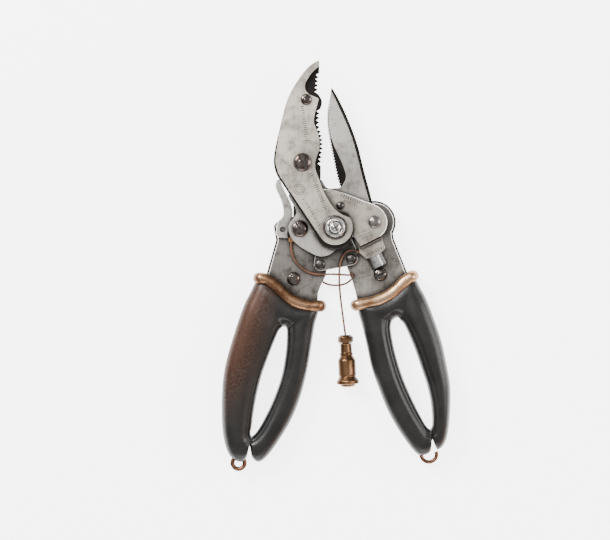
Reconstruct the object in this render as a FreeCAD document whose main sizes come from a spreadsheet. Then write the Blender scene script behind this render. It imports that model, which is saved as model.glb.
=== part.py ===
import FreeCAD, Part
import math
import os

import Sketcher
from FreeCAD import Placement, Rotation, Vector

# Compound-action hand cutters, lying flat. Millimetres. Origin on the main bolt's axis at the
# back face of its nut; +Y towards the jaw tips, +X towards the cutting blade, +Z towards the
# screw heads. The jaws stand open, which is where the handles rest.

# ---------------------------------------------------------------- driving dimensions
DRIVING = {
    "jaw_reach": 89.6,          # main bolt to the hook's tip
    "grip_reach": 126.5,        # main bolt to the grips' lower tips, along Y
    "grip_depth": 16.0,         # thickness of the grips, front to back
    "gap": 0.3,                 # running gap between plates that slide on each other
    "running_fit": 0.08,        # radial clearance of a pin in its hole
    "slot_play": 0.25,          # extra room on each side of a driving pin in its slot
    "strap_thick": 1.8,
    "backing_thick": 1.0,
    "handle_plate_thick": 1.6,
    "frame_thick": 1.8,
    "saw_thick": 1.2,
    "cheek_thick": 1.4,
    "head_thick": 2.0,
    "insert_thick": 2.2,
    "front_thick": 2.2,
    "tab_thick": 1.2,
    "main_bolt_dia": 6.0,
    "pivot_rivet_dia": 3.6,
    "drive_pin_dia": 4.0,
    "small_screw_dia": 3.0,
    "washer_thick": 0.9,
    "collar_width": 5.8,
    "cord_dia": 1.2,
    "ring_wire_dia": 2.4,
    "hook_wire_dia": 2.1,
    "bob_flange_dia": 12.2,
    "bob_body_dia": 9.0,
    "bob_neck_dia": 5.8,
    "bob_cap_dia": 7.8,
    "bob_length": 28.4,
    "edge_break": 0.35,
}

# The outlines' points below were drawn at these reaches, and stretch with the driving ones
DRAWN_JAW_REACH = 89.6
DRAWN_GRIP_REACH = 126.5

# Places in the plane of the tool (x, y)
MAIN = (0.0, 0.0)
LEFT_PIVOT = (-7.9, -19.8)
RIGHT_PIVOT = (8.7, -16.6)
LEFT_DRIVE = (-19.1, -0.5)
RIGHT_DRIVE = (21.3, 3.0)
HOOK_SCREW = (-17.6, 34.9)
TIP_SCREW = (-15.5, 68.6)
STOP_PIN = (2.9, 11.9)
LEFT_HANDLE_SCREW = (-22.4, -27.5)
RIGHT_HANDLE_SCREW = (24.6, -25.2)
CATCH_PIVOT = (-28.3, -0.9)

# Travel used to size the driving slots
HANDLE_TRAVEL = 11.0
LEFT_RATIO = 0.586
RIGHT_RATIO = 0.592

doc = FreeCAD.newDocument("hand_cutters")
sizes = doc.addObject("Spreadsheet::Sheet", "sizes")
for row, (alias, number) in enumerate(DRIVING.items(), start=1):
    sizes.set(f"A{row}", alias)
    sizes.set(f"B{row}", str(number))
    sizes.setAlias(f"B{row}", alias)
doc.recompute()


class Measure:
    """A sum of named sizes: a number for this code and an expression for the document."""

    def __init__(self, terms):
        self.terms = terms

    def __add__(self, other):
        other = other.terms if isinstance(other, Measure) else {"": other}
        keys = list(dict.fromkeys([*self.terms, *other]))
        return Measure({k: self.terms.get(k, 0.0) + other.get(k, 0.0) for k in keys})

    def __mul__(self, factor):
        return Measure({k: v * factor for k, v in self.terms.items()})

    def __sub__(self, other):
        return self + other * -1.0

    @property
    def value(self):
        return sum(v * (float(sizes.get(k)) if k else 1.0) for k, v in self.terms.items())

    @property
    def expression(self):
        parts = [f"({v:.6g}) * sizes.{k}" if k else f"({v:.6g})" for k, v in self.terms.items()]
        return " + ".join(parts)


def size(alias):
    return Measure({alias: 1.0})


def constant(number):
    return Measure({"": number})


# ---------------------------------------------------------------- levels, back to front
Z_TABLE = constant(0.0)
HANDLE_THICK = size("backing_thick") + size("handle_plate_thick")
Z_BACKING = (size("grip_depth") - HANDLE_THICK) * 0.5
Z_HANDLE = Z_BACKING + size("backing_thick")
Z_HANDLE_TOP = Z_BACKING + HANDLE_THICK
Z_STRAP = Z_BACKING - size("gap") - size("strap_thick")
Z_FRAME = Z_HANDLE_TOP + size("gap")
Z_FRAME_TOP = Z_FRAME + size("frame_thick")
Z_SAW = Z_FRAME_TOP + size("gap")
Z_CHEEK = Z_SAW + size("saw_thick")
Z_CHEEK_TOP = Z_CHEEK + size("cheek_thick")
Z_HEAD = Z_CHEEK_TOP + size("gap")
Z_INSERT = Z_HEAD + size("head_thick")
Z_FRONT = Z_INSERT + size("insert_thick")
Z_FRONT_TOP = Z_FRONT + size("front_thick")
Z_GRIP_MIDDLE = size("grip_depth") * 0.5

kept = []                       # (label, document object) of every sub-part


def keep(label, item):
    item.Label = label
    kept.append((label, item))
    return item


# ---------------------------------------------------------------- outlines
JAW_FROM = 24.0                 # the jaws stretch beyond this height when jaw_reach changes
GRIP_FROM = -50.0               # the grips stretch below this height when grip_reach changes


def stretched(point):
    """Moves a point of the nominal outline with the driving lengths."""
    x, y = point
    if y > JAW_FROM:
        reach = (size("jaw_reach").value - JAW_FROM) / (DRAWN_JAW_REACH - JAW_FROM)
        y = JAW_FROM + (y - JAW_FROM) * reach
    if y < GRIP_FROM:
        reach = (size("grip_reach").value + GRIP_FROM) / (DRAWN_GRIP_REACH + GRIP_FROM)
        y = GRIP_FROM + (y - GRIP_FROM) * reach
    return (x, y)


def spline_through(points):
    curve = Part.BSplineCurve()
    curve.interpolate([Vector(x, y, 0) for x, y in points])
    return curve


def toothed(points, pitch, depth):
    """Tips along a smooth curve through the points, roots set back to the left of travel."""
    curve = spline_through([stretched(p) for p in points])
    steps = max(2, round(curve.length() / pitch)) * 2
    outline = []
    for step in range(steps + 1):
        u = curve.parameterAtDistance(curve.length() * step / steps, curve.FirstParameter)
        at = curve.value(u)
        if step % 2:
            along = curve.tangent(u)[0]
            at = at + Vector(-along.y, along.x, 0) * depth
        outline.append((at.x, at.y))
    return outline


def arc_points(centre, radius, start, end, count=9):
    """Points round an arc, degrees, for a smooth stroke."""
    turns = [math.radians(start + (end - start) * i / (count - 1)) for i in range(count)]
    return [(centre[0] + radius * math.cos(t), centre[1] + radius * math.sin(t)) for t in turns]


def stroke_geometry(strokes):
    """Sketch geometry of a closed outline: ("line" | "curve" | "teeth", points) strokes."""
    geometry = []
    first = last = None
    for kind, points in strokes:
        if kind != "teeth":
            points = [stretched(p) for p in points]
        if last is not None and math.dist(last, points[0]) > 1e-6:
            geometry.append(Part.LineSegment(Vector(*last, 0), Vector(*points[0], 0)))
        if kind == "curve":
            geometry.append(spline_through(points))
        else:
            for a, b in zip(points, points[1:]):
                geometry.append(Part.LineSegment(Vector(*a, 0), Vector(*b, 0)))
        first = first or points[0]
        last = points[-1]
    if math.dist(first, last) > 1e-6:
        geometry.append(Part.LineSegment(Vector(*last, 0), Vector(*first, 0)))
    return geometry


def slot_geometry(start, end, radius):
    """A round-ended slot between two points."""
    a, b = Vector(*start, 0), Vector(*end, 0)
    along = (b - a).normalize()
    side = Vector(-along.y, along.x, 0) * radius
    return [
        Part.LineSegment(a + side, b + side),
        Part.Arc(b + side, b + along * radius, b - side),
        Part.LineSegment(b - side, a - side),
        Part.Arc(a - side, a - along * radius, a + side),
    ]


# ---------------------------------------------------------------- plates
def origin_plane(body, role):
    return next(item for item in body.Origin.OriginFeatures if item.Role == role)


def plate(label, strokes, level, thickness, holes=(), slots=(), breaks=None):
    """A flat plate padded from its outline, with bound holes and, in front, a broken edge."""
    body = doc.addObject("PartDesign::Body", label)
    sketch = body.newObject("Sketcher::SketchObject", label + "_outline")
    sketch.AttachmentSupport = (origin_plane(body, "XY_Plane"), [""])
    sketch.MapMode = "FlatFace"
    for item in stroke_geometry(strokes):
        sketch.addGeometry(item, False)
    for start, end, radius in slots:
        for item in slot_geometry(start, end, radius):
            sketch.addGeometry(item, False)
    for centre, radius in holes:
        circle = Part.Circle(Vector(*stretched(centre), 0), Vector(0, 0, 1), radius.value)
        index = sketch.addGeometry(circle, False)
        rule = sketch.addConstraint(Sketcher.Constraint("Radius", index, radius.value))
        sketch.setExpression(f"Constraints[{rule}]", radius.expression)
    pad = body.newObject("PartDesign::Pad", label + "_pad")
    pad.Profile = sketch
    pad.setExpression("Length", thickness.expression)
    if breaks is not None:
        doc.recompute()
        top = thickness.value
        names = [
            f"Edge{i}"
            for i, edge in enumerate(pad.Shape.Edges, start=1)
            if abs(edge.BoundBox.ZMin - top) < 1e-6 and edge.Length > breaks.value
        ]
        chamfer = body.newObject("PartDesign::Chamfer", label + "_edge")
        chamfer.Base = (pad, names)
        chamfer.setExpression("Size", breaks.expression)
        body.Tip = chamfer
    body.setExpression("Placement.Base.z", level.expression)
    return body


BOLT_HOLE = size("main_bolt_dia") * 0.5 + size("running_fit")
BOLT_SEAT = size("main_bolt_dia") * 0.5
RIVET_HOLE = size("pivot_rivet_dia") * 0.5 + size("running_fit")
RIVET_SEAT = size("pivot_rivet_dia") * 0.5
DRIVE_SEAT = size("drive_pin_dia") * 0.5
SMALL_SEAT = size("small_screw_dia") * 0.5

HOOK_BACK = [(-30.1, 28.1), (-32.0, 35.0), (-31.2, 43.4), (-29.7, 53.2), (-27.8, 61.4),
             (-25.4, 69.2), (-21.1, 77.3), (-16.8, 83.4), (-13.0, 87.2), (-8.6, 89.6)]
HOOK_MOUTH = [(-8.4, 87.0), (-11.2, 84.2), (-13.8, 81.2), (-15.9, 77.4), (-16.2, 74.6),
              (-15.1, 72.4), (-12.1, 70.6), (-8.9, 69.0)]
HOOK_FACE = [(-8.9, 69.0), (-10.4, 63.1), (-11.3, 59.0), (-11.2, 55.4), (-9.9, 51.9),
             (-8.5, 47.0), (-8.7, 41.6), (-10.2, 36.9), (-10.8, 33.4), (-10.3, 30.4),
             (-8.6, 25.7), (-6.7, 20.4), (-3.8, 14.8), (-0.3, 9.9), (3.6, 7.0), (7.7, 5.4)]
NUT_RING = 9.4                  # radius of the hook plate's round end
front_outline = [
    ("line", [(-7.9, -5.1), (-29.2, 26.7)]),
    ("curve", [(-29.2, 26.7), (-31.3, 31.5), *HOOK_BACK[1:]]),
    ("line", [HOOK_BACK[-1], HOOK_MOUTH[0]]),
    ("curve", HOOK_MOUTH),
    ("curve", HOOK_FACE),
    ("curve", arc_points(MAIN, NUT_RING, 35, -147)),
]
keep("hook_front_plate", plate(
    "hook_front_plate", front_outline, Z_FRONT, size("front_thick"),
    holes=[(MAIN, BOLT_HOLE), (HOOK_SCREW, DRIVE_SEAT), (TIP_SCREW, SMALL_SEAT)]))

TOOTH_PITCH = 2.3
FINE_PITCH = 1.6
TOOTH_DEPTH = 1.9
FINE_DEPTH = 1.0
insert_outline = [
    ("line", [(-9.6, -5.2), (-30.6, 27.0)]),
    ("curve", [(-30.6, 27.0), (-32.6, 32.0), (-33.0, 36.0), (-31.9, 44.0), (-29.9, 53.0),
               (-27.8, 61.0), (-25.2, 69.0), (-20.8, 77.2), (-16.4, 83.2), (-12.8, 86.7),
               (-9.2, 88.6)]),
    ("line", [(-9.2, 88.6), (-8.5, 86.4), (-8.5, 83.0)]),
    ("teeth", toothed([(-8.5, 83.0), (-8.8, 79.5), (-9.1, 76.0), (-9.2, 71.8)],
                      TOOTH_PITCH, -TOOTH_DEPTH)),
    ("curve", [(-9.2, 71.8), (-7.8, 69.8), (-7.0, 67.4), (-7.4, 65.2), (-8.0, 63.6)]),
    ("teeth", toothed([(-8.0, 63.6), (-8.4, 58.0), (-8.1, 53.2), (-6.8, 49.0), (-6.4, 44.0),
                       (-6.9, 38.5), (-7.7, 33.0)], TOOTH_PITCH, -TOOTH_DEPTH)),
    ("line", [(-7.7, 33.0), (-7.7, 26.4), (-9.8, 25.2)]),
    ("curve", [(-9.8, 25.2), (-8.0, 20.2), (-5.0, 14.4), (-1.0, 9.6), (4.0, 8.6), (8.4, 5.2)]),
    ("curve", arc_points((-0.4, -1.2), 10.4, 32, -158)),
]
keep("saw_insert", plate(
    "saw_insert", insert_outline, Z_INSERT, size("insert_thick"),
    holes=[(MAIN, BOLT_HOLE), (HOOK_SCREW, DRIVE_SEAT), (TIP_SCREW, SMALL_SEAT)]))

HEAD_RING = 8.6
head_outline = [
    ("line", [(-9.6, 3.0), (-13.0, 14.0), (-9.5, 20.4)]),
    ("curve", [(-9.5, 20.4), (-5.0, 20.7), (-1.9, 20.4), (1.2, 19.6), (5.8, 18.2), (12.0, 15.8),
               (17.6, 13.6), (21.1, 12.3), (24.1, 10.6), (26.6, 7.7), (27.9, 4.3), (27.7, 0.5),
               (26.3, -2.5), (24.1, -4.7)]),
    ("line", [(24.1, -4.7), (13.6, -10.0), (10.6, -5.4), (8.4, -3.6)]),
    ("curve", arc_points(MAIN, HEAD_RING, -24, -200)),
]
keep("head_plate", plate(
    "head_plate", head_outline, Z_HEAD, size("head_thick"),
    holes=[(MAIN, BOLT_HOLE), (RIGHT_DRIVE, DRIVE_SEAT), (STOP_PIN, SMALL_SEAT)],
    breaks=size("edge_break")))

tab_outline = [
    ("line", [(12.4, -8.0), (13.2, -13.6), (16.8, -16.8)]),
    ("curve", [(16.8, -16.8), (18.2, -16.4), (25.6, -12.8), (26.9, -11.2), (26.4, -9.4)]),
    ("line", [(26.4, -9.4), (24.6, -3.8), (22.0, -2.2), (13.6, -6.4)]),
]
keep("guard_tab", plate("guard_tab", tab_outline, Z_HEAD - size("tab_thick"),
                        size("tab_thick")))

CHEEK_EDGE = [(-2.2, 73.4), (-3.0, 66.9), (-3.4, 61.0), (-3.4, 56.5), (-2.9, 52.5),
              (-0.7, 44.5), (2.3, 38.0), (5.1, 31.1), (5.9, 27.7), (4.9, 24.3), (3.0, 21.9),
              (0.0, 21.2), (-4.8, 21.9), (-5.9, 23.7), (-7.3, 25.7), (-9.4, 26.6)]
TAIL_EDGE = [(-25.1, -0.4), (-24.2, -4.2), (-21.5, -8.0), (-17.5, -11.1), (-12.2, -14.1),
             (-7.6, -15.5), (-3.5, -14.7), (-0.1, -12.2)]
TAIL_TOP = [(-14.0, 25.0), (-20.0, 22.0), (-25.0, 17.6), (-22.4, 12.4), (-21.0, 7.4),
            (-22.8, 4.6), (-24.5, 2.4), (-25.1, -0.4)]
cheek_outline = [
    ("curve", CHEEK_EDGE),
    ("curve", [CHEEK_EDGE[-1], *TAIL_TOP]),
    ("curve", TAIL_EDGE),
    ("line", [TAIL_EDGE[-1], (7.0, -6.5), (14.0, 1.0), (18.9, 12.8)]),
    ("curve", [(18.9, 12.8), (17.0, 19.3), (14.4, 28.7), (12.3, 37.3), (10.1, 45.4),
               (8.1, 51.3), (5.5, 57.7), (1.6, 66.2), (-1.4, 72.6)]),
]
keep("blade_cheek", plate(
    "blade_cheek", cheek_outline, Z_CHEEK, size("cheek_thick"),
    holes=[(MAIN, BOLT_HOLE), (LEFT_DRIVE, DRIVE_SEAT)]))

saw_outline = [
    ("line", [(2.5, 21.5), (-4.8, 20.9), (-9.0, 24.6), (-13.0, 24.0), (-22.4, 14.0),
              (-22.6, 4.4)]),
    ("curve", arc_points(LEFT_DRIVE, 5.4, 125, 235)),
    ("line", [(-22.2, -4.9), (-12.0, -13.2), (-7.6, -14.6), (-3.5, -13.9), (-0.4, -11.4),
              (7.0, -6.0), (14.0, 1.0), (20.4, 12.4)]),
    ("curve", [(20.4, 12.4), (18.7, 19.5), (16.1, 29.0), (14.0, 37.6), (11.8, 45.8),
               (9.7, 51.8), (7.1, 58.3), (3.2, 66.9), (0.2, 72.5), (-1.9, 75.9)]),
    ("line", [(-1.9, 75.9), (-2.4, 72.6)]),
    ("teeth", toothed([(-2.4, 72.6), (-3.8, 66.9), (-4.5, 61.0), (-4.5, 56.5), (-4.0, 52.2),
                       (-3.0, 46.2), (-1.3, 37.6), (0.2, 30.3), (2.5, 21.5)],
                      FINE_PITCH, FINE_DEPTH)),
]
keep("blade_saw", plate(
    "blade_saw", saw_outline, Z_SAW, size("saw_thick"),
    holes=[(MAIN, BOLT_HOLE), (LEFT_DRIVE, DRIVE_SEAT)]))

LUG = 3.7                       # radius of the frame's lugs round the handle rivets
frame_outline = [
    ("curve", arc_points(MAIN, 8.6, 190, -25, 13)),
    ("line", [arc_points(MAIN, 8.6, 190, -25, 13)[-1], (11.4, -11.0)]),
    ("curve", arc_points(RIGHT_PIVOT, LUG, 20, -80)),
    ("curve", arc_points(LEFT_PIVOT, LUG - 0.1, -72, -185)),
]
keep("centre_plate", plate(
    "centre_plate", frame_outline, Z_FRAME, size("frame_thick"),
    holes=[(MAIN, BOLT_SEAT), (LEFT_PIVOT, RIVET_SEAT), (RIGHT_PIVOT, RIVET_SEAT)],
    breaks=size("edge_break")))
keep("back_strap", plate(
    "back_strap", frame_outline, Z_STRAP, size("strap_thick"),
    holes=[(MAIN, BOLT_SEAT), (LEFT_PIVOT, RIVET_SEAT), (RIGHT_PIVOT, RIVET_SEAT)]))


# ---------------------------------------------------------------- handles
def turned_about(point, centre, degrees):
    turn = math.radians(degrees)
    dx, dy = point[0] - centre[0], point[1] - centre[1]
    return (centre[0] + dx * math.cos(turn) - dy * math.sin(turn),
            centre[1] + dx * math.sin(turn) + dy * math.cos(turn))


def drive_slot(pin, pivot, travel, ratio):
    """Where a jaw's driving pin lies in the handle at rest and at full travel."""
    closed = turned_about(turned_about(pin, MAIN, travel * ratio), pivot, -travel)
    radius = DRIVE_SEAT.value + size("slot_play").value
    return (pin, closed, radius)


left_slot = drive_slot(LEFT_DRIVE, LEFT_PIVOT, HANDLE_TRAVEL, LEFT_RATIO)
right_slot = drive_slot(RIGHT_DRIVE, RIGHT_PIVOT, -HANDLE_TRAVEL, RIGHT_RATIO)


def left_handle_outline(margin):
    return [
        ("line", [(-30.8 - margin, -6.7), (-32.0 - margin, 1.0)]),
        ("curve", [(-32.0 - margin, 1.0), (-29.0, 3.6 + margin), (-24.0, 4.8 + margin),
                   (-17.0, 5.0 + margin), (-12.2, 3.6), (-10.4, 0.0), (-9.6, -6.0),
                   (-6.0, -12.6), (-3.6, -17.0)]),
        ("curve", arc_points(LEFT_PIVOT, 4.6, 20, -40)),
        ("line", [(-5.2, -26.4), (-7.9, -31.9), (-9.1, -35.3), (-9.4, -44.0),
                  (-14.0, -50.0), (-30.0, -48.5)]),
        ("line", [(-43.0 - margin * 0.5, -41.0), (-40.0 - margin, -33.0),
                  (-36.1 - margin, -25.6)]),
    ]


RIGHT_EAR = 10.6                # radius of the right handle's round top


def right_handle_outline(margin):
    return [
        ("curve", arc_points(RIGHT_DRIVE, RIGHT_EAR + margin, 150, 8)),
        ("curve", arc_points(RIGHT_DRIVE, RIGHT_EAR + margin, 8, -30, 4)),
        ("line", [(30.9 + margin, -6.2), (37.9 + margin, -23.8), (41.0 + margin, -31.0),
                  (44.6, -39.4)]),
        ("line", [(31.0, -44.6), (16.0, -47.0), (12.6, -42.0), (11.2, -34.9), (9.4, -28.7)]),
        ("curve", arc_points(RIGHT_PIVOT, 4.4, -125, -205)),
        ("line", [(6.0, -10.6), (10.0, -4.0)]),
    ]


def handle_plates(side, outline, pivot, slot, screw, margin=1.1):
    holes = [(pivot, RIVET_HOLE), (screw, SMALL_SEAT)]
    for label, level, thickness, extra, breaks in (
        (f"{side}_handle_plate", Z_HANDLE, size("handle_plate_thick"), 0.0, size("edge_break")),
        (f"{side}_handle_backing", Z_BACKING, size("backing_thick"), margin, None),
    ):
        keep(label, plate(label, outline(extra), level, thickness,
                          holes=holes, slots=[slot], breaks=breaks))


handle_plates("left", left_handle_outline, LEFT_PIVOT, left_slot, LEFT_HANDLE_SCREW)
handle_plates("right", right_handle_outline, RIGHT_PIVOT, right_slot, RIGHT_HANDLE_SCREW)

LEFT_GRIP = [
    ("curve", [(-41.5, -27.2), (-46.2, -35.6), (-49.6, -42.6), (-53.9, -54.9), (-58.6, -70.8),
               (-60.6, -81.6), (-61.3, -92.5), (-61.3, -103.4), (-60.5, -112.8),
               (-58.3, -121.0), (-55.0, -125.2), (-50.6, -126.7), (-46.0, -127.0),
               (-41.4, -126.7), (-37.0, -124.0), (-30.8, -115.9), (-23.5, -103.6), (-18.5, -91.0), (-14.9, -76.8),
               (-12.7, -63.8), (-10.9, -52.8), (-8.8, -43.6)]),
    ("line", [(-8.8, -43.6), (-13.8, -42.2)]),
    ("curve", [(-13.8, -42.2), (-19.0, -41.1), (-24.6, -38.3), (-29.3, -34.3), (-33.0, -30.6),
               (-37.0, -27.8), (-41.5, -27.2)]),
]
LEFT_WINDOW = [(-27.9, -53.6), (-30.1, -55.2), (-33.7, -63.6), (-38.0, -75.1), (-41.6, -87.4),
               (-43.8, -99.7), (-45.2, -109.5), (-44.6, -112.2), (-42.6, -110.6), (-38.2, -103.4), (-33.2, -92.5),
               (-28.8, -79.5), (-26.6, -66.4), (-26.0, -56.0)]
RIGHT_GRIP = [
    ("curve", [(42.6, -26.4), (46.4, -32.6), (49.6, -38.6), (53.6, -49.0), (57.7, -61.3),
               (60.6, -74.4), (62.4, -85.2), (62.5, -96.1), (61.8, -106.9), (60.4, -114.3),
               (58.0, -118.6), (54.2, -121.0), (50.0, -122.9), (46.6, -123.2), (43.2, -121.2),
               (38.8, -115.8), (33.0, -107.1), (28.0, -97.7), (23.7, -86.9), (19.7, -75.3),
               (17.2, -63.7), (15.0, -54.3), (12.1, -43.0)]),
    ("line", [(12.1, -43.0), (14.0, -41.2)]),
    ("curve", [(14.0, -41.2), (17.4, -40.5), (23.7, -39.0), (29.9, -35.9), (34.5, -31.9),
               (38.6, -28.1), (42.6, -26.4)]),
]
RIGHT_WINDOW = [(33.8, -48.6), (30.4, -51.4), (30.8, -58.5), (33.0, -68.6), (36.7, -80.8),
                (41.7, -92.4), (46.1, -101.1), (50.0, -107.6), (51.8, -108.4), (52.6, -105.5), (51.9, -94.6),
                (49.8, -85.2), (46.9, -76.5), (43.3, -65.7), (40.4, -58.5), (37.0, -51.4)]
COLLAR_LINES = {
    "left": [(-40.0, -27.4), (-37.0, -27.9), (-33.0, -30.6), (-29.3, -34.3), (-24.6, -38.3),
             (-19.0, -41.1), (-13.8, -42.2), (-8.9, -42.2)],
    "right": [(12.6, -41.6), (17.4, -40.5), (23.7, -39.0), (29.9, -35.9), (34.5, -31.9),
              (38.6, -28.1), (41.2, -26.6)],
}


def extruded(geometry_lists, z_low, z_high):
    """A solid between two heights from an outer wire and its windows."""
    wires = [Part.Wire(Part.__sortEdges__([g.toShape() for g in items]))
             for items in geometry_lists]
    face = Part.Face(wires)
    face.translate(Vector(0, 0, z_low))
    return face.extrude(Vector(0, 0, z_high - z_low))


def rounded(solid, radius, keep_edge):
    edges = [e for e in solid.Edges if keep_edge(e)]
    return solid.makeFillet(radius, edges)


def lies_flat(z_low, z_high):
    def test(edge):
        box = edge.BoundBox
        flat = box.ZLength < 1e-6
        return flat and (abs(box.ZMin - z_low) < 1e-6 or abs(box.ZMin - z_high) < 1e-6)
    return test


def feature(label, shape):
    item = doc.addObject("Part::Feature", label)
    item.Shape = shape
    return keep(label, item)


def sausage(points, width):
    """A closed ribbon of constant width with round ends along a smooth line."""
    middle = spline_through(points)
    sides = ([], [])
    steps = 12
    for step in range(steps + 1):
        u = middle.parameterAtDistance(middle.length() * step / steps, middle.FirstParameter)
        at, along = middle.value(u), middle.tangent(u)[0]
        normal = Vector(-along.y, along.x, 0) * (width / 2)
        sides[0].append(at + normal)
        sides[1].append(at - normal)
    upper, lower = Part.BSplineCurve(), Part.BSplineCurve()
    upper.interpolate(sides[0])
    lower.interpolate(sides[1])
    ends = []
    for u, a, b, sense in ((middle.FirstParameter, sides[1][0], sides[0][0], -1),
                           (middle.LastParameter, sides[0][-1], sides[1][-1], 1)):
        far = middle.value(u) + middle.tangent(u)[0] * (width / 2 * sense)
        ends.append(Part.Arc(a, far, b))
    return [upper, ends[1], lower, ends[0]]


def handle_shapes(side, grip, window, screw_end):
    """The collar and the grip, each cut to fit the plates that pass through them."""
    depth = size("grip_depth").value
    margin = size("gap").value / 3
    plates = [item.Shape for label, item in kept if label.startswith(f"{side}_handle_")]
    collar_round = size("collar_width").value * 0.36
    collar = extruded([sausage(COLLAR_LINES[side], size("collar_width").value)],
                      margin, depth - margin)
    collar = rounded(collar, collar_round, lies_flat(margin, depth - margin))
    lining = Part.BSplineCurve()
    lining.interpolate([Vector(*stretched(p), 0) for p in window], PeriodicFlag=True)
    body = rounded(extruded([stroke_geometry(grip)], 0.0, depth), GRIP_ROUND,
                   lies_flat(0.0, depth))
    body = body.cut(extruded([[lining]], -1.0, depth + 1.0)).cut(tip_notch(side, depth))
    for solid in [*plates, collar, *screw_end]:
        body = body.cut(solid)
    for solid in plates:
        collar = collar.cut(solid)
    body = max(body.Solids, key=lambda s: s.Volume)
    collar = max(collar.Solids, key=lambda s: s.Volume)
    return body, collar


GRIP_ROUND = 2.0
NOTCHES = {                     # the seam between a grip's two tips: its head and two feet
    "left": [(-46.3, -118.0), (-48.2, -128.0), (-43.9, -128.0)],
    "right": [(52.7, -114.6), (52.4, -124.0), (56.0, -122.0)],
}


def tip_notch(side, depth):
    corners = [Vector(*stretched(p), -1.0) for p in NOTCHES[side]]
    face = Part.Face(Part.makePolygon([*corners, corners[0]]))
    return face.extrude(Vector(0, 0, depth + 2.0))


doc.recompute()

ring_radius = 3.3
ring_at = stretched((-52.2, -127.3))
ring = doc.addObject("Part::Torus", "hanging_ring")
ring.setExpression("Radius2", (size("ring_wire_dia") * 0.5).expression)
ring.Radius1 = ring_radius
ring.Placement = Placement(Vector(*ring_at, Z_GRIP_MIDDLE.value), Rotation())
keep("hanging_ring", ring)

hook_radius = 4.2
hook_at = stretched((50.9, -122.6))
latch = doc.addObject("Part::Torus", "latch_hook")
latch.setExpression("Radius2", (size("hook_wire_dia") * 0.5).expression)
latch.Radius1 = hook_radius
latch.Angle3 = 215
latch.Placement = Placement(Vector(*hook_at, Z_GRIP_MIDDLE.value),
                            Rotation(Vector(0, 0, 1), 165))
keep("latch_hook", latch)
doc.recompute()

for side, grip, window, end in (("left", LEFT_GRIP, LEFT_WINDOW, ring),
                                ("right", RIGHT_GRIP, RIGHT_WINDOW, latch)):
    grip_solid, collar_solid = handle_shapes(side, grip, window, [end.Shape])
    feature(f"{side}_grip", grip_solid)
    feature(f"{side}_collar", collar_solid)


# ---------------------------------------------------------------- screws, rivets, pins
def disc(name, at, low, high, radius):
    """A cylinder between two levels, all sizes bound."""
    item = doc.addObject("Part::Cylinder", name)
    item.setExpression("Radius", radius.expression)
    item.setExpression("Height", (high - low).expression)
    item.Placement.Base = Vector(*at, 0)
    item.setExpression("Placement.Base.z", low.expression)
    return item


def dome(name, at, low, radius, height):
    """A low domed head: a cylinder shared with a ball that just covers it."""
    wall = disc(name + "_wall", at, low, low + constant(height), radius)
    ball = doc.addObject("Part::Sphere", name + "_ball")
    crown = height * 0.8
    rise = (radius.value ** 2 + crown ** 2) / (2 * crown)
    ball.Radius = rise
    ball.Placement.Base = Vector(*at, 0)
    ball.setExpression("Placement.Base.z", (low + constant(height - rise)).expression)
    shared = doc.addObject("Part::MultiCommon", name)
    shared.Shapes = [wall, ball]
    return shared


def turned(label, at, pieces, cuts=()):
    joined = doc.addObject("Part::MultiFuse", label + "_blank" if cuts else label)
    joined.Shapes = pieces
    for number, (width, length, depth, top, angle) in enumerate(cuts):
        cutter = doc.addObject("Part::Box", f"{label}_slot{number}")
        cutter.Width, cutter.Length, cutter.Height = width, length, depth + 1.0
        turn = Rotation(Vector(0, 0, 1), angle)
        corner = turn.multVec(Vector(-length / 2, -width / 2, 0))
        cutter.Placement = Placement(Vector(*at, 0) + corner, turn)
        cutter.setExpression("Placement.Base.z", (top - constant(depth)).expression)
        cut = doc.addObject("Part::Cut", label if number == len(cuts) - 1
                            else f"{label}_part{number}")
        cut.Base, cut.Tool = joined, cutter
        joined = cut
    return keep(label, joined)


WASHER_LOW = Z_FRONT_TOP + size("running_fit")
WASHER_TOP = WASHER_LOW + size("washer_thick")
washer = doc.addObject("Part::Cut", "main_washer")
washer.Base = disc("washer_disc", MAIN, WASHER_LOW, WASHER_TOP, constant(6.4))
washer.Tool = disc("washer_bore", MAIN, WASHER_LOW, WASHER_TOP, BOLT_SEAT)
keep("main_washer", washer)

MAIN_HEAD = 2.3
turned("main_bolt", MAIN, [
    disc("bolt_shank", MAIN, Z_TABLE, WASHER_TOP, BOLT_SEAT),
    dome("bolt_head", MAIN, WASHER_TOP, constant(5.3), MAIN_HEAD),
], cuts=[(1.0, 6.0, 1.5, WASHER_TOP + constant(MAIN_HEAD), angle) for angle in (-55, 35)])

nut = doc.addObject("Part::Prism", "nut_blank")
nut.Polygon = 6
nut.Circumradius = 6.4
nut.setExpression("Height", Z_STRAP.expression)
nut_bore = disc("nut_bore", MAIN, Z_TABLE, Z_STRAP, BOLT_SEAT)
main_nut = doc.addObject("Part::Cut", "main_nut")
main_nut.Base, main_nut.Tool = nut, nut_bore
keep("main_nut", main_nut)

SPACER_WALL = 1.4
spacer = doc.addObject("Part::Cut", "bolt_spacer")
spacer.Base = disc("spacer_tube", MAIN, Z_STRAP + size("strap_thick"), Z_FRAME,
                   BOLT_SEAT + constant(SPACER_WALL))
spacer.Tool = disc("spacer_bore", MAIN, Z_STRAP + size("strap_thick"), Z_FRAME, BOLT_SEAT)
keep("bolt_spacer", spacer)

PIVOT_HEAD = 1.1
for side, at in (("left", LEFT_PIVOT), ("right", RIGHT_PIVOT)):
    turned(f"{side}_pivot_rivet", at, [
        disc(f"{side}_rivet_shank", at, Z_STRAP, Z_FRAME_TOP, RIVET_SEAT),
        dome(f"{side}_rivet_head", at, Z_FRAME_TOP, constant(2.6), PIVOT_HEAD),
        disc(f"{side}_rivet_tail", at, Z_STRAP - constant(0.9), Z_STRAP, constant(2.6)),
    ])

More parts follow.
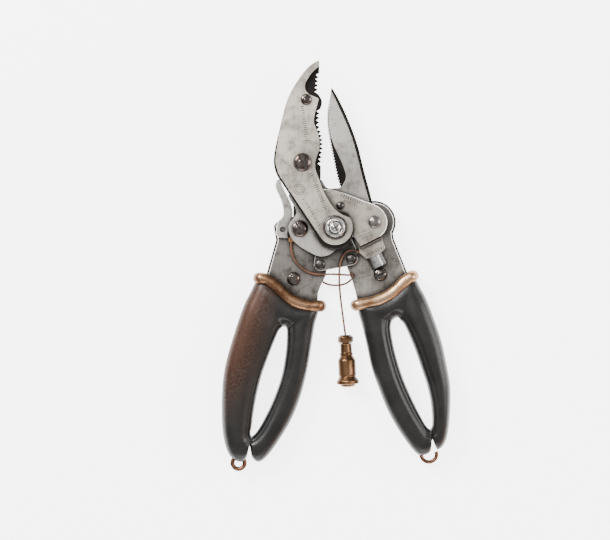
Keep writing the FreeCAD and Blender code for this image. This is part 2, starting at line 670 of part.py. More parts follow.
DRIVE_LOW = Z_BACKING
turned("blade_screw", LEFT_DRIVE, [
    disc("blade_screw_shank", LEFT_DRIVE, DRIVE_LOW, Z_CHEEK_TOP, DRIVE_SEAT),
    dome("blade_screw_head", LEFT_DRIVE, Z_CHEEK_TOP, constant(4.6), 2.0),
], cuts=[(0.9, 12.0, 0.9, Z_CHEEK_TOP + constant(2.0), -58)])

turned("head_rivet", RIGHT_DRIVE, [
    disc("head_rivet_shank", RIGHT_DRIVE, DRIVE_LOW, Z_INSERT, DRIVE_SEAT),
    dome("head_rivet_head", RIGHT_DRIVE, Z_INSERT, constant(3.4), 1.6),
])

hook_screw_at = stretched(HOOK_SCREW)
tip_screw_at = stretched(TIP_SCREW)
turned("hook_screw", hook_screw_at, [
    disc("hook_screw_shank", hook_screw_at, Z_INSERT, Z_FRONT_TOP, DRIVE_SEAT),
    dome("hook_screw_head", hook_screw_at, Z_FRONT_TOP, constant(4.9), 2.0),
], cuts=[(1.3, 12.0, 1.0, Z_FRONT_TOP + constant(2.0), -62)])
turned("tip_screw", tip_screw_at, [
    disc("tip_screw_shank", tip_screw_at, Z_INSERT, Z_FRONT_TOP, SMALL_SEAT),
    dome("tip_screw_head", tip_screw_at, Z_FRONT_TOP, constant(3.0), 1.4),
], cuts=[(0.7, 8.0, 0.7, Z_FRONT_TOP + constant(1.4), -50)])
turned("stop_pin", STOP_PIN, [
    disc("stop_pin_shank", STOP_PIN, Z_HEAD, Z_INSERT, SMALL_SEAT),
    dome("stop_pin_head", STOP_PIN, Z_INSERT, constant(2.2), 1.3),
])

for side, at, angle in (("left", LEFT_HANDLE_SCREW, -52), ("right", RIGHT_HANDLE_SCREW, 22)):
    turned(f"{side}_handle_screw", at, [
        disc(f"{side}_screw_shank", at, Z_BACKING, Z_HANDLE_TOP, SMALL_SEAT),
        dome(f"{side}_screw_head", at, Z_HANDLE_TOP, constant(3.6), 1.7),
        disc(f"{side}_screw_tail", at, Z_BACKING - constant(1.0), Z_BACKING, constant(3.0)),
    ], cuts=[(0.9, 10.0, 0.8, Z_HANDLE_TOP + constant(1.7), angle)])

# ---------------------------------------------------------------- catch, stop, clip, spring
catch_outline = [
    ("line", [(-32.0, -3.6), (-30.4, -5.4), (-25.6, -5.6), (-24.9, 1.6)]),
    ("curve", [(-24.9, 1.6), (-23.6, 4.6), (-22.9, 8.4), (-24.0, 13.2), (-26.4, 18.6),
               (-28.6, 23.4), (-29.6, 26.6)]),
    ("curve", [(-29.6, 26.6), (-31.2, 26.0), (-32.2, 23.2), (-31.4, 19.8), (-29.4, 15.6),
               (-28.2, 11.0), (-28.0, 7.2), (-30.6, 4.0)]),
    ("line", [(-30.6, 4.0), (-31.4, 1.4)]),
]
keep("thumb_catch", plate(
    "thumb_catch", catch_outline, Z_FRAME, size("frame_thick"),
    holes=[(CATCH_PIVOT, size("small_screw_dia") * 0.4 + size("running_fit"))],
    breaks=size("edge_break")))
turned("catch_pin", CATCH_PIVOT, [
    disc("catch_pin_shank", CATCH_PIVOT, Z_HANDLE_TOP, Z_FRAME_TOP,
         size("small_screw_dia") * 0.4),
    disc("catch_pin_foot", CATCH_PIVOT, Z_HANDLE_TOP, Z_HANDLE_TOP + size("gap") * 0.6,
         size("small_screw_dia") * 0.8),
])

STOP_AXIS = 26.4                # degrees that the stop barrel leans from the vertical
BARREL_RADIUS = 4.7
BARREL_LENGTH = 10.5
barrel_high = (Z_HEAD - size("tab_thick") - size("gap") * 1.5).value
barrel_base = Z_HANDLE_TOP.value
barrel_rise = barrel_high - barrel_base
barrel = Part.makeCylinder(BARREL_RADIUS, BARREL_LENGTH, Vector(0, 0, 0), Vector(0, -1, 0))
flat = Part.makeBox(4 * BARREL_RADIUS, 2 * BARREL_LENGTH, 2 * BARREL_RADIUS,
                    Vector(-2 * BARREL_RADIUS, -1.5 * BARREL_LENGTH,
                           BARREL_RADIUS - barrel_rise - 2 * BARREL_RADIUS))
barrel = barrel.cut(flat)
stop = doc.addObject("Part::Feature", "stop_barrel")
stop.Shape = barrel
stop.Placement = Placement(
    Vector(19.7, -11.3, barrel_high - BARREL_RADIUS), Rotation(Vector(0, 0, 1), STOP_AXIS))
keep("stop_barrel", stop)

CLIP_AT = (-23.7, -7.6)
clip_length, clip_width = 2.4, 2.8
clip = doc.addObject("Part::Box", "cord_clip")
clip.Length, clip.Width = clip_width, clip_length
clip.Placement.Base = Vector(CLIP_AT[0] - clip_width / 2, CLIP_AT[1], 0)
clip.setExpression("Height", (size("cord_dia") * 1.4).expression)
clip.setExpression("Placement.Base.z", Z_HANDLE_TOP.expression)
keep("cord_clip", clip)

SPRING_AT = (0.6, -18.2)
SPRING_RADIUS = 1.9
SPRING_WIRE = 0.9
SPRING_PITCH = SPRING_WIRE * 1.02
SPRING_TURNS = 2.0
SPRING_LIFT = 0.02              # clear of the strap that it stands on
spring_low = (Z_STRAP + size("strap_thick")).value + SPRING_LIFT + SPRING_WIRE / 2
coil = Part.makeHelix(SPRING_PITCH, SPRING_PITCH * SPRING_TURNS, SPRING_RADIUS - SPRING_WIRE / 2)
section = Part.Wire([Part.Circle(Vector(SPRING_RADIUS - SPRING_WIRE / 2, 0, 0),
                                 Vector(0, 1, 0), SPRING_WIRE / 2).toShape()])
spring = doc.addObject("Part::Feature", "return_spring")
spring.Shape = Part.Wire(coil.Edges).makePipeShell([section], True, True)
spring.Placement = Placement(Vector(*SPRING_AT, spring_low), Rotation())
keep("return_spring", spring)
keep("spring_post", disc("spring_post", SPRING_AT, Z_STRAP + size("strap_thick"), Z_FRAME,
                         constant(SPRING_RADIUS - SPRING_WIRE - 0.1)))


# ---------------------------------------------------------------- cords
def cord_tube(label, route, diameter):
    """Straight runs joined by tangent arcs, each arc as large as its two runs allow."""
    points = [Vector(*p) for p in route]
    edges, here, radii, length = [], points[0], [], 0.0
    for before, at, after in zip(points, points[1:], points[2:]):
        a, b = (before - at), (after - at)
        turn = math.pi - a.getAngle(b)
        shorter = min(a.Length, b.Length)
        radius = 0.45 * shorter / math.tan(turn / 2)
        back = 0.45 * shorter
        a.normalize()
        b.normalize()
        start, end = at + a * back, at + b * back
        inward = (a + b).normalize()
        centre = at + inward * (radius / math.cos(turn / 2))
        middle = centre - inward * radius
        edges += [Part.LineSegment(here, start).toShape(), Part.Arc(start, middle, end).toShape()]
        radii.append(round(radius, 1))
        length += (start - here).Length + radius * turn
        here = end
    edges.append(Part.LineSegment(here, points[-1]).toShape())
    length += (points[-1] - here).Length
    first = (points[1] - points[0]).normalize()
    ring_wire = Part.Wire([Part.Circle(points[0], first, diameter / 2).toShape()])
    tube = Part.Wire(edges).makePipeShell([ring_wire], True, False)
    expected = math.pi * diameter ** 2 / 4 * length
    print(f"{label}: length {length:.1f} mm, radii {radii}, volume ratio "
          f"{tube.Volume / expected:.3f}")
    feature(label, tube)


cord = size("cord_dia").value
keeper_z = Z_HANDLE_TOP.value + 0.84 + cord * 0.2
KEEPER_ROUTE = [(-23.7, -7.64), (-23.8, -11.4), (-22.9, -15.4), (-20.6, -19.4), (-17.0, -22.7),
                (-12.6, -24.9), (-7.6, -25.3), (-2.4, -25.0), (2.6, -25.2), (7.8, -25.6)]
cord_tube("keeper_cord", [(x, y, keeper_z) for x, y in KEEPER_ROUTE], cord)
knot_radius = 1.4
knot = doc.addObject("Part::Sphere", "cord_knot")
knot.Radius = knot_radius
knot.Placement.Base = Vector(KEEPER_ROUTE[-1][0] + knot_radius * 0.9, KEEPER_ROUTE[-1][1], keeper_z)
doc.recompute()
keeper_solid = kept[-1][1].Shape
feature("cord_knot", max(knot.Shape.cut(keeper_solid).cut(
    Part.makeBox(9, 9, 9, Vector(4.0, -30.0, Z_HANDLE_TOP.value - 9 + size("gap").value))
).Solids, key=lambda s: s.Volume))

strap_middle = Z_STRAP.value + size("strap_thick").value / 2
LOOP_ROUTE = [(-8.8, -23.4), (-8.6, -26.6), (-6.4, -29.6), (-2.6, -31.0), (2.0, -31.2),
              (6.4, -30.2), (9.6, -27.4), (9.9, -23.8), (9.2, -20.2)]
cord_tube("loop_cord", [(x, y, strap_middle) for x, y in LOOP_ROUTE], cord)

# The bob hangs on its own cord from the right-hand rivet and lies on the same table
bob_middle = size("bob_flange_dia").value / 2
post_z = Z_FRAME_TOP.value + size("gap").value + cord / 2
BOB_TOP = (5.7, -58.0)
BOB_FOOT = (7.2, -86.4)
PENDANT_ROUTE = [(13.4, -13.4, post_z), (10.4, -11.8, post_z), (6.6, -12.4, post_z),
                 (3.8, -15.6, post_z), (2.5, -20.4, post_z), (2.2, -26.4, post_z),
                 (2.5, -33.0, post_z - 0.6), (3.3, -40.4, post_z - 2.4),
                 (4.5, -49.2, bob_middle + 1.2), (BOB_TOP[0], BOB_TOP[1] + 0.1, bob_middle)]
cord_tube("pendant_cord", PENDANT_ROUTE, cord)
ferrule = doc.addObject("Part::Cylinder", "cord_ferrule")
ferrule.setExpression("Radius", (size("cord_dia") * 0.5 + constant(0.15)).expression)
ferrule.Height = 2.0
start, following = Vector(*PENDANT_ROUTE[0]), Vector(*PENDANT_ROUTE[1])
ferrule.Placement = Placement(start, Rotation(Vector(0, 0, 1), start - following))
keep("cord_ferrule", ferrule)

bob_axis = Vector(BOB_FOOT[0] - BOB_TOP[0], BOB_FOOT[1] - BOB_TOP[1], 0).normalize()


def bob_piece(label, profile):
    """A turned piece along the bob's axis from (distance, radius) steps."""
    corners = [Vector(profile[0][0], 0, 0)]
    corners += [Vector(along, radius, 0) for along, radius in profile]
    corners += [Vector(profile[-1][0], 0, 0), Vector(profile[0][0], 0, 0)]
    solid = Part.Face(Part.makePolygon(corners)).revolve(Vector(), Vector(1, 0, 0), 360)
    item = doc.addObject("Part::Feature", label)
    item.Shape = solid if isinstance(solid, Part.Solid) else Part.Solid(Part.Shell(solid.Faces))
    item.Placement = Placement(Vector(*BOB_TOP, bob_middle), Rotation(Vector(1, 0, 0), bob_axis))
    keep(label, item)


cap, neck = size("bob_cap_dia").value / 2, size("bob_neck_dia").value / 2
barrel_r, flange = size("bob_body_dia").value / 2, size("bob_flange_dia").value / 2
bob_end = size("bob_length").value
CAP_LENGTH = 4.8
bob_piece("bob_cap", [(0.0, cap - 1.3), (1.0, cap), (CAP_LENGTH - 0.8, cap),
                      (CAP_LENGTH, cap - 0.8)])
bob_piece("bob_weight", [
    (CAP_LENGTH, neck), (bob_end * 0.38, neck), (bob_end * 0.45, barrel_r - 0.5),
    (bob_end * 0.47, barrel_r), (bob_end * 0.8, barrel_r), (bob_end * 0.84, flange - 1.2),
    (bob_end * 0.88, flange), (bob_end * 0.94, flange), (bob_end * 0.97, flange - 1.6),
    (bob_end * 0.97, flange - 3.0), (bob_end, flange - 3.6)])

# ---------------------------------------------------------------- checks and files
doc.recompute()
failed = [o.Label for o in doc.Objects if "Invalid" in o.State or "Error" in o.State]
if failed:
    raise RuntimeError(f"not built: {failed}")
os.makedirs("parts", exist_ok=True)
for label, item in kept:
    shape = item.Shape
    if shape.isNull() or not shape.isValid() or not shape.Solids:
        raise RuntimeError(f"{label}: no valid solid")
    box = shape.BoundBox
    print(f"{label}: {len(shape.Solids)} solid, {shape.Volume:.0f} mm3, "
          f"z {box.ZMin:.2f}..{box.ZMax:.2f}")
    shape.exportStep(f"parts/{label}.step")
print(f"{len(kept)} sub-parts")
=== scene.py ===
import math

import bmesh
import bpy
import numpy as np
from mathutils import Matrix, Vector


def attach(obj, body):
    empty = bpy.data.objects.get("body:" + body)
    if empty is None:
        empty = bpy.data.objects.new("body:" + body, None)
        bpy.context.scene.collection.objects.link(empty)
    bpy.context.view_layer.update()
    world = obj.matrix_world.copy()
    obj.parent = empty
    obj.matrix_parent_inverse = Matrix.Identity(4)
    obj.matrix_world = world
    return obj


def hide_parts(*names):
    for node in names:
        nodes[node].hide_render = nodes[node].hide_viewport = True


MM = 0.001
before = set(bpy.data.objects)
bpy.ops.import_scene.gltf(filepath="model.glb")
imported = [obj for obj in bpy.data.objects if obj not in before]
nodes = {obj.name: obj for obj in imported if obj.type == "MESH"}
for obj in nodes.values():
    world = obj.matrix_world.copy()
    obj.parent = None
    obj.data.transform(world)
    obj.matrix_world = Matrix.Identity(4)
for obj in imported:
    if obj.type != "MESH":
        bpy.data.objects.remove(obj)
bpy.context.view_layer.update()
scene = bpy.context.scene

# ---------------- camera
VIEW_WIDTH = 329.4              # mm seen from side to side at the tool's own level
TOOL_LEVEL = 12                 # mm above the floor
LENS, SENSOR = 130, 36
camera_data = bpy.data.cameras.new("camera")
camera_data.lens = LENS
camera_data.sensor_width = SENSOR
camera = bpy.data.objects.new("camera", camera_data)
camera.location = (-16.2 * MM, -22.8 * MM, (TOOL_LEVEL + VIEW_WIDTH * LENS / SENSOR) * MM)
camera_data.clip_start, camera_data.clip_end = 0.05, 20
scene.collection.objects.link(camera)
scene.camera = camera


# ---------------- finishes
class Amount:
    """A grey value or colour inside a material, which adds, multiplies and mixes like a number."""

    def __init__(self, maker, socket):
        self.maker, self.socket = maker, socket

    def _math(self, kind, *others):
        return self.maker.step("ShaderNodeMath", [self, *others], operation=kind)

    def __add__(self, other):
        return self._math("ADD", other)

    def __sub__(self, other):
        return self._math("SUBTRACT", other)

    def __mul__(self, other):
        return self._math("MULTIPLY", other)

    def __rsub__(self, other):
        return self.maker.step("ShaderNodeMath", [other, self], operation="SUBTRACT")

    __radd__ = __add__

    def size(self):
        return self._math("ABSOLUTE")

    def between(self, low, high):
        """0 below low, 1 above high, smooth in between."""
        made = self.maker.node("ShaderNodeMapRange", interpolation_type="SMOOTHSTEP")
        self.maker.feed(made.inputs["Value"], self)
        made.inputs["From Min"].default_value = low
        made.inputs["From Max"].default_value = high
        return Amount(self.maker, made.outputs["Result"])


class Finish:
    """One material, made of noise and simple maths on the piece's own coordinates."""

    def __init__(self, name):
        self.material = bpy.data.materials.new(name)
        self.material.use_nodes = True
        self.tree = self.material.node_tree
        self.shader = self.tree.nodes["Principled BSDF"]
        self.place = self.node("ShaderNodeTexCoord").outputs["Object"]
        split = self.node("ShaderNodeSeparateXYZ")
        self.tree.links.new(self.place, split.inputs[0])
        self.x, self.y, self.z = (Amount(self, o) for o in split.outputs)
        facing = self.node("ShaderNodeSeparateXYZ")
        self.tree.links.new(self.node("ShaderNodeNewGeometry").outputs["Normal"],
                            facing.inputs[0])
        self.up = Amount(self, facing.outputs[2]).size()

    def node(self, kind, **settings):
        made = self.tree.nodes.new(kind)
        for key, value in settings.items():
            setattr(made, key, value)
        return made

    def feed(self, socket, value):
        if isinstance(value, Amount):
            self.tree.links.new(value.socket, socket)
        else:
            socket.default_value = value

    def step(self, kind, values, **settings):
        made = self.node(kind, **settings)
        for socket, value in zip(made.inputs, values):
            self.feed(socket, value)
        return Amount(self, made.outputs[0])

    def stretched_place(self, scale, turn=0.0):
        mapping = self.node("ShaderNodeMapping")
        self.tree.links.new(self.place, mapping.inputs["Vector"])
        mapping.inputs["Scale"].default_value = scale
        mapping.inputs["Rotation"].default_value = (0, 0, math.radians(turn))
        return mapping.outputs["Vector"]

    def noise(self, scale, detail=3.0, place=None, rough=0.55):
        """Cloudy grey values about 0.5; scale in bumps per metre."""
        made = self.node("ShaderNodeTexNoise")
        self.tree.links.new(place or self.place, made.inputs["Vector"])
        made.inputs["Scale"].default_value = scale
        made.inputs["Detail"].default_value = detail
        made.inputs["Roughness"].default_value = rough
        return Amount(self, made.outputs["Fac"])

    def cells(self, scale):
        """Distance from scattered points; scale in points per metre."""
        made = self.node("ShaderNodeTexVoronoi")
        self.tree.links.new(self.place, made.inputs["Vector"])
        made.inputs["Scale"].default_value = scale
        return Amount(self, made.outputs["Distance"])

    def blend(self, amount, first, second):
        """first where amount is 0 and second where it is 1; colours or earlier blends."""
        made = self.node("ShaderNodeMix", data_type="RGBA", clamp_factor=True)
        self.feed(made.inputs[0], amount)
        for socket, value in ((made.inputs[6], first), (made.inputs[7], second)):
            self.feed(socket, value if isinstance(value, Amount) else (*value, 1.0))
        return Amount(self, made.outputs[2])

    def crevice(self, reach):
        """1 in tight corners, 0 out in the open; reach in mm."""
        made = self.node("ShaderNodeAmbientOcclusion", samples=6)
        made.inputs["Distance"].default_value = reach * MM
        return 1.0 - Amount(self, made.outputs["AO"])

    def set(self, **values):
        """Sets the shader's own inputs, such as base_color, by their names."""
        for key, value in values.items():
            socket = key.replace("_", " ").title().replace("Ior", "IOR")
            self.feed(self.shader.inputs[socket], value)

    def bump(self, height, depth):
        """Raises the surface by height (0 to 1) times depth in mm."""
        made = self.node("ShaderNodeBump")
        made.inputs["Strength"].default_value = 1.0
        made.inputs["Distance"].default_value = depth * MM
        self.tree.links.new(height.socket, made.inputs["Height"])
        self.tree.links.new(made.outputs["Normal"], self.shader.inputs["Normal"])


def steel(name, light, dark, stain, rough, grain_turn, stain_amount=0.5, flank=0.35, shine=0.6,
          shaded_top=False):
    """Satin plate: fine ground lines, clouded stains, small pits; a painted highlight on the eased
    edges, painted shade on the sides and in the crevices.
    """
    f = Finish(name)
    grain = f.noise(900, 2.0, f.stretched_place((1.0, 0.05, 1.0), grain_turn))
    cloud = f.noise(48, 6.0, rough=0.68)
    patch = f.noise(190, 5.0, rough=0.65)
    pits = 1.0 - f.cells(1500).between(0.10, 0.28)
    pits = pits * patch.between(0.55, 0.72)
    crevice_shade = f.crevice(4.5)
    body = f.blend(grain.between(0.3, 0.7) * 0.16 + cloud.between(0.40, 0.64) * 0.84, light, dark)
    body = f.blend(patch.between(0.5, 0.74) * stain_amount, body, stain)
    body = f.blend(pits * 0.6, body, (0.06, 0.05, 0.045))
    if shaded_top:                  # painted shade: the handle's round top is darker than its lower part
        body = f.blend(f.y.between(-0.009, -0.002) * 0.85, body, (0.075, 0.07, 0.066))
    # painted shade on the plate's upright sides; flank is the share of their own colour they keep
    side = 1.0 - f.up.between(0.12, 0.42)
    body = f.blend(side * (1.0 - flank), body, (0.045, 0.042, 0.04))
    # painted highlight: near white on the eased edges, broken up by the stain pattern
    edge = f.up.between(0.3, 0.55) * (1.0 - f.up.between(0.88, 0.98)) * shine
    body = f.blend(edge * (0.7 + patch * 0.6), body, (0.97, 0.95, 0.92))
    # painted shade: near black in the crevices, kept off the painted edge highlight
    painted_gap_shade = (crevice_shade * 1.9 - edge * 0.45).between(0.0, 0.9)
    body = f.blend(painted_gap_shade * 0.94, body, (0.018, 0.015, 0.013))
    f.set(base_color=body, metallic=1.0 - pits * 0.5,
          roughness=rough + cloud * 0.18 + pits * 0.3 - edge * 0.12 + crevice_shade * 0.2)
    f.bump(grain * 0.6 + patch * 0.6 - pits * 0.8, 0.045)
    return f.material


def polished(name, light, dark, rough, tarnish, tarnish_amount=0.4, band=(0.1, 0.62), relief=0.02):
    """Turned screw or barrel: bright with soft tarnish and fine scratches; painted shade on its
    steep sides and in its crevices.
    """
    f = Finish(name)
    cloud = f.noise(420, 4.0)
    scratch = f.noise(2600, 2.0, f.stretched_place((1.0, 0.08, 1.0), 37))
    crevice_shade = f.crevice(1.6)
    body = f.blend(cloud.between(0.3, 0.7), light, dark)
    body = f.blend(cloud.between(0.5, 0.85) * tarnish_amount, body, tarnish)
    # painted shade on the steep sides
    side = 1.0 - f.up.between(*band)
    body = f.blend(side * 0.85, body, (0.02, 0.018, 0.017))
    # painted shade: near black in the crevices
    body = f.blend(crevice_shade.between(0.15, 0.8) * 0.9, body, (0.012, 0.011, 0.01))
    f.set(base_color=body, metallic=1.0 - side * 0.25,
          roughness=rough + scratch.between(0.45, 0.8) * 0.16 + cloud * 0.08)
    f.bump(scratch + cloud, relief)
    return f.material


def bronze(name, light, dark, top_highlight_colour, rough):
    """Aged copper alloy: brown skin, fine pitting; a painted highlight on its upward faces,
    painted shade on its sides and in its crevices.
    """
    f = Finish(name)
    cloud = f.noise(95, 5.0, rough=0.6)
    fine = f.noise(1500, 3.0)
    crevice_shade = f.crevice(2.2)
    body = f.blend(cloud.between(0.34, 0.66), light, dark)
    body = f.blend(fine.between(0.56, 0.76) * 0.45, body, (0.09, 0.04, 0.02))
    # painted highlight: a lighter colour on the upward faces, broken up by the clouds
    top_highlight = f.up.between(0.72, 0.99) * (1.0 - cloud.between(0.4, 0.66))
    body = f.blend(top_highlight * 0.55, body, top_highlight_colour)
    # painted shade in the crevices and on the sideways faces
    body = f.blend(crevice_shade.between(0.2, 0.9) * 0.85 + (1.0 - f.up.between(0.0, 0.5)) * 0.35, body,
                   (0.03, 0.014, 0.008))
    f.set(base_color=body, metallic=0.95 - fine.between(0.6, 0.85) * 0.3,
          roughness=rough + fine * 0.12 + cloud * 0.12 - top_highlight * 0.08)
    f.bump(fine * 0.6 + cloud * 0.5, 0.04)
    return f.material


def grip_skin(name, worn):
    """Moulded black grip with a fine grain; worn is how strongly bronze shows through."""
    f = Finish(name)
    grain = f.noise(2600, 3.0, rough=0.6)
    cloud = f.noise(70, 5.0, rough=0.62)
    scuff = f.noise(520, 5.0, f.stretched_place((1.0, 0.35, 1.0), -18), rough=0.7)
    crevice_shade = f.crevice(4.0)
    body = f.blend(cloud.between(0.3, 0.7), (0.004, 0.0037, 0.0034), (0.0095, 0.0086, 0.0078))
    body = f.blend(scuff.between(0.6, 0.78) * 0.3, body, (0.05, 0.04, 0.032))
    rough = 0.27 + cloud * 0.16 + grain * 0.08
    metal = scuff.between(0.62, 0.8) * 0.2
    if worn:
        # strongest on the outer bar below the collar, thinning out towards the tips
        lean = f.x + f.y * -0.30
        along = f.y.between(-0.117, -0.066) * (1.0 - f.y.between(-0.040, -0.026) * 0.5)
        across = 1.0 - lean.between(-0.0335, -0.0155)
        zone = along * across * worn
        dots = f.noise(880, 6.0, rough=0.78)
        sparks = f.noise(2700, 2.0, rough=0.5)
        flecks = (dots + zone * 0.26).between(0.60, 0.71) * zone.between(0.02, 0.35)
        copper = f.blend(sparks.between(0.42, 0.58), (0.88, 0.44, 0.2), (0.26, 0.1, 0.042))
        body = f.blend(zone * 0.85, body, (0.052, 0.0205, 0.0105))
        metal = metal + flecks * 0.6
        rough = rough + zone * 0.08
    # painted shade: near black in the crevices
    body = f.blend(crevice_shade.between(0.3, 0.95) * 0.6, body, (0.002, 0.002, 0.002))
    f.set(base_color=body, metallic=metal, roughness=rough, coat_weight=0.04 + cloud * 0.08,
          coat_roughness=0.22, specular_ior_level=0.34)
    f.bump(grain * 0.5 + scuff * 0.6, 0.04)
    return f.material


def waxed_cord(name):
    """Brown cord with a fibrous surface, with painted shade between its strands."""
    f = Finish(name)
    fibre = f.noise(2600, 3.0)
    cloud = f.noise(160, 3.0)
    body = f.blend(cloud.between(0.3, 0.7), (0.135, 0.05, 0.02), (0.05, 0.02, 0.01))
    body = f.blend(fibre.between(0.5, 0.75) * 0.5, body, (0.24, 0.11, 0.05))
    # painted shade in the grooves between the strands
    body = f.blend(f.crevice(0.8).between(0.2, 0.9) * 0.7, body, (0.012, 0.006, 0.004))
    f.set(base_color=body, roughness=0.45 + fibre * 0.2, metallic=cloud * 0.08)
    f.bump(fibre, 0.05)
    return f.material


def engraving(name):
    """Dull dark metal at the foot of a cut or a stamped mark."""
    f = Finish(name)
    cloud = f.noise(900, 3.0)
    body = f.blend(cloud.between(0.3, 0.7), (0.02, 0.018, 0.016), (0.06, 0.054, 0.048))
    f.set(base_color=body, roughness=0.6 + cloud * 0.2, metallic=0.35 + cloud * 0.2)
    f.bump(cloud, 0.03)
    return f.material


# Steel: light and dark colour, stain, roughness, grain's turn, then amounts of stain, flank (the
# share of the sides' own colour kept against the painted shade), shine (the painted edge
# highlight)
PALE = steel("pale_steel", (0.56, 0.51, 0.435), (0.235, 0.214, 0.187), (0.14, 0.12, 0.1),
             0.3, 62, 0.55)
HEAD_PALE = steel("head_steel", (0.52, 0.47, 0.4), (0.235, 0.212, 0.184), (0.15, 0.127, 0.104),
                  0.29, -58, 0.55)
CHEEK = steel("cheek_steel", (0.49, 0.465, 0.43), (0.2, 0.188, 0.172), (0.1, 0.09, 0.08),
              0.3, 48)
LEFT_PLATE = steel("left_plate_steel", (0.20, 0.184, 0.166), (0.08, 0.073, 0.066),
                   (0.035, 0.03, 0.026), 0.34, 28, 0.75)
RIGHT_PLATE = steel("right_plate_steel", (0.35, 0.322, 0.288), (0.14, 0.127, 0.114),
                    (0.06, 0.051, 0.043), 0.34, -24, 0.75, shaded_top=True)
SHADED = steel("shaded_steel", (0.15, 0.14, 0.13), (0.065, 0.061, 0.057), (0.03, 0.027, 0.024),
               0.37, -30, 0.7)
DARK = steel("dark_steel", (0.022, 0.021, 0.02), (0.009, 0.0085, 0.008), (0.035, 0.03, 0.026),
             0.38, 75, 0.5, 0.8, 0.1)
# Turned metal: light and dark colour, roughness, tarnish and its amount, band (the slopes over
# which the painted side shade fades out), relief
CHROME = polished("bright_steel", (0.8, 0.77, 0.74), (0.5, 0.48, 0.455), 0.11,
                  (0.32, 0.26, 0.22), 0.3, (0.3, 0.86), 0.004)
BARREL = polished("barrel_steel", (0.8, 0.78, 0.76), (0.55, 0.53, 0.51), 0.12,
                  (0.33, 0.27, 0.23), 0.3, (0.70, 0.985))
SCREW = polished("blackened_screw", (0.19, 0.162, 0.147), (0.055, 0.046, 0.041), 0.13,
                 (0.24, 0.11, 0.07), 0.7)
RIVET = polished("dark_rivet", (0.13, 0.118, 0.11), (0.05, 0.046, 0.043), 0.2,
                 (0.12, 0.07, 0.05), 0.5, relief=0.01)
DOME = polished("grey_rivet", (0.27, 0.25, 0.235), (0.13, 0.12, 0.112), 0.2,
                (0.17, 0.12, 0.09), 0.5, (0.2, 0.75), 0.01)
SPRING = polished("spring_wire", (0.3, 0.29, 0.28), (0.18, 0.17, 0.165), 0.25,
                  (0.14, 0.1, 0.08))
# Bronze: light and dark colour, the colour of the painted highlight on its upward faces, roughness
COPPER = bronze("aged_bronze", (0.42, 0.25, 0.135), (0.215, 0.115, 0.058), (0.66, 0.44, 0.28),
                0.25)
# a darker copy of the brown bronze for the ring and hook: painted shade
SHADED_BRONZE = bronze("shaded_bronze", (0.115, 0.05, 0.026), (0.05, 0.023, 0.013), (0.26, 0.13, 0.075),
              0.26)
BROWN = bronze("brown_bronze", (0.25, 0.13, 0.066), (0.105, 0.051, 0.027), (0.46, 0.27, 0.155),
               0.25)
BOB = bronze("bob_bronze", (0.15, 0.073, 0.033), (0.055, 0.026, 0.012), (0.28, 0.155, 0.08),
             0.25)
LEFT_SKIN = grip_skin("left_grip_skin", 1.0)
RIGHT_SKIN = grip_skin("right_grip_skin", 0.0)
CORD = waxed_cord("brown_cord")
MARK = engraving("engraved_mark")

NODE_FINISH = {
    "hook_front_plate": PALE, "head_plate": HEAD_PALE, "guard_tab": HEAD_PALE,
    "blade_cheek": CHEEK, "centre_plate": SHADED, "thumb_catch": CHEEK,
    "saw_insert": DARK, "blade_saw": DARK,
    "left_handle_plate": LEFT_PLATE, "right_handle_plate": RIGHT_PLATE,
    "left_handle_backing": SHADED, "right_handle_backing": SHADED,
    "back_strap": SHADED, "bolt_spacer": SHADED, "spring_post": SHADED,
    "main_bolt": CHROME, "main_washer": CHROME, "stop_barrel": BARREL, "main_nut": RIVET,
    "hook_screw": SCREW, "tip_screw": SCREW, "blade_screw": SCREW, "stop_pin": SCREW,
    "head_rivet": RIVET, "left_pivot_rivet": RIVET, "right_pivot_rivet": RIVET,
    "left_handle_screw": RIVET, "right_handle_screw": RIVET, "catch_pin": RIVET,
    "return_spring": SPRING,
    "left_grip": LEFT_SKIN, "right_grip": RIGHT_SKIN,
    "left_collar": BROWN, "right_collar": COPPER, "hanging_ring": SHADED_BRONZE, "latch_hook": SHADED_BRONZE,
    "bob_cap": BOB, "bob_weight": BOB, "cord_ferrule": BROWN, "cord_clip": BROWN,
    "keeper_cord": CORD, "loop_cord": CORD, "pendant_cord": CORD, "cord_knot": CORD,
}
for name, item in nodes.items():
    item.data.materials.clear()
    item.data.materials.append(NODE_FINISH[name])


# ---------------- making pieces
def piece_from(name, points, faces, finish, body, stands_for=(), smooth=True):
    """A new mesh piece, points in mm, that rides on a body."""
    mesh = bpy.data.meshes.new(name)
    mesh.from_pydata([tuple(c * MM for c in p) for p in points], [], faces)
    mesh.materials.append(finish)
    return placed(name, mesh, body, stands_for, smooth)


def placed(name, mesh, body, stands_for=(), smooth=True):
    if smooth:
        mesh.shade_smooth()
    mesh.validate()
    made = bpy.data.objects.new(name, mesh)
    scene.collection.objects.link(made)
    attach(made, body)
    if stands_for:
        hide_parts(*stands_for)
    return made


def smooth_loop(points, steps, closed=True):
    """Points along a rounded line through the given ones (any number of columns)."""
    p = np.array(points, float)
    count = len(p)
    out = []
    for i in range(count if closed else count - 1):
        if closed:
            a, b, c, d = p[i - 1], p[i], p[(i + 1) % count], p[(i + 2) % count]
        else:
            a, b, c, d = p[max(i - 1, 0)], p[i], p[i + 1], p[min(i + 2, count - 1)]
        for k in range(steps):
            t = k / steps
            out.append(0.5 * (2 * b + (c - a) * t + (2 * a - 5 * b + 4 * c - d) * t * t
                              + (3 * b - a - 3 * c + d) * t ** 3))
    if not closed:
        out.append(p[-1])
    return np.array(out)


def ring_faces(rings, around, closed):
    """Quads between rings of points that each have the same number of points."""
    faces = []
    for i in range(rings if closed else rings - 1):
        j = (i + 1) % rings
        for k in range(around):
            n = (k + 1) % around
            faces.append((i * around + k, j * around + k, j * around + n, i * around + n))
    return faces


def cap_faces(rings, around):
    return [tuple(range(around)), tuple(reversed(range((rings - 1) * around, rings * around)))]


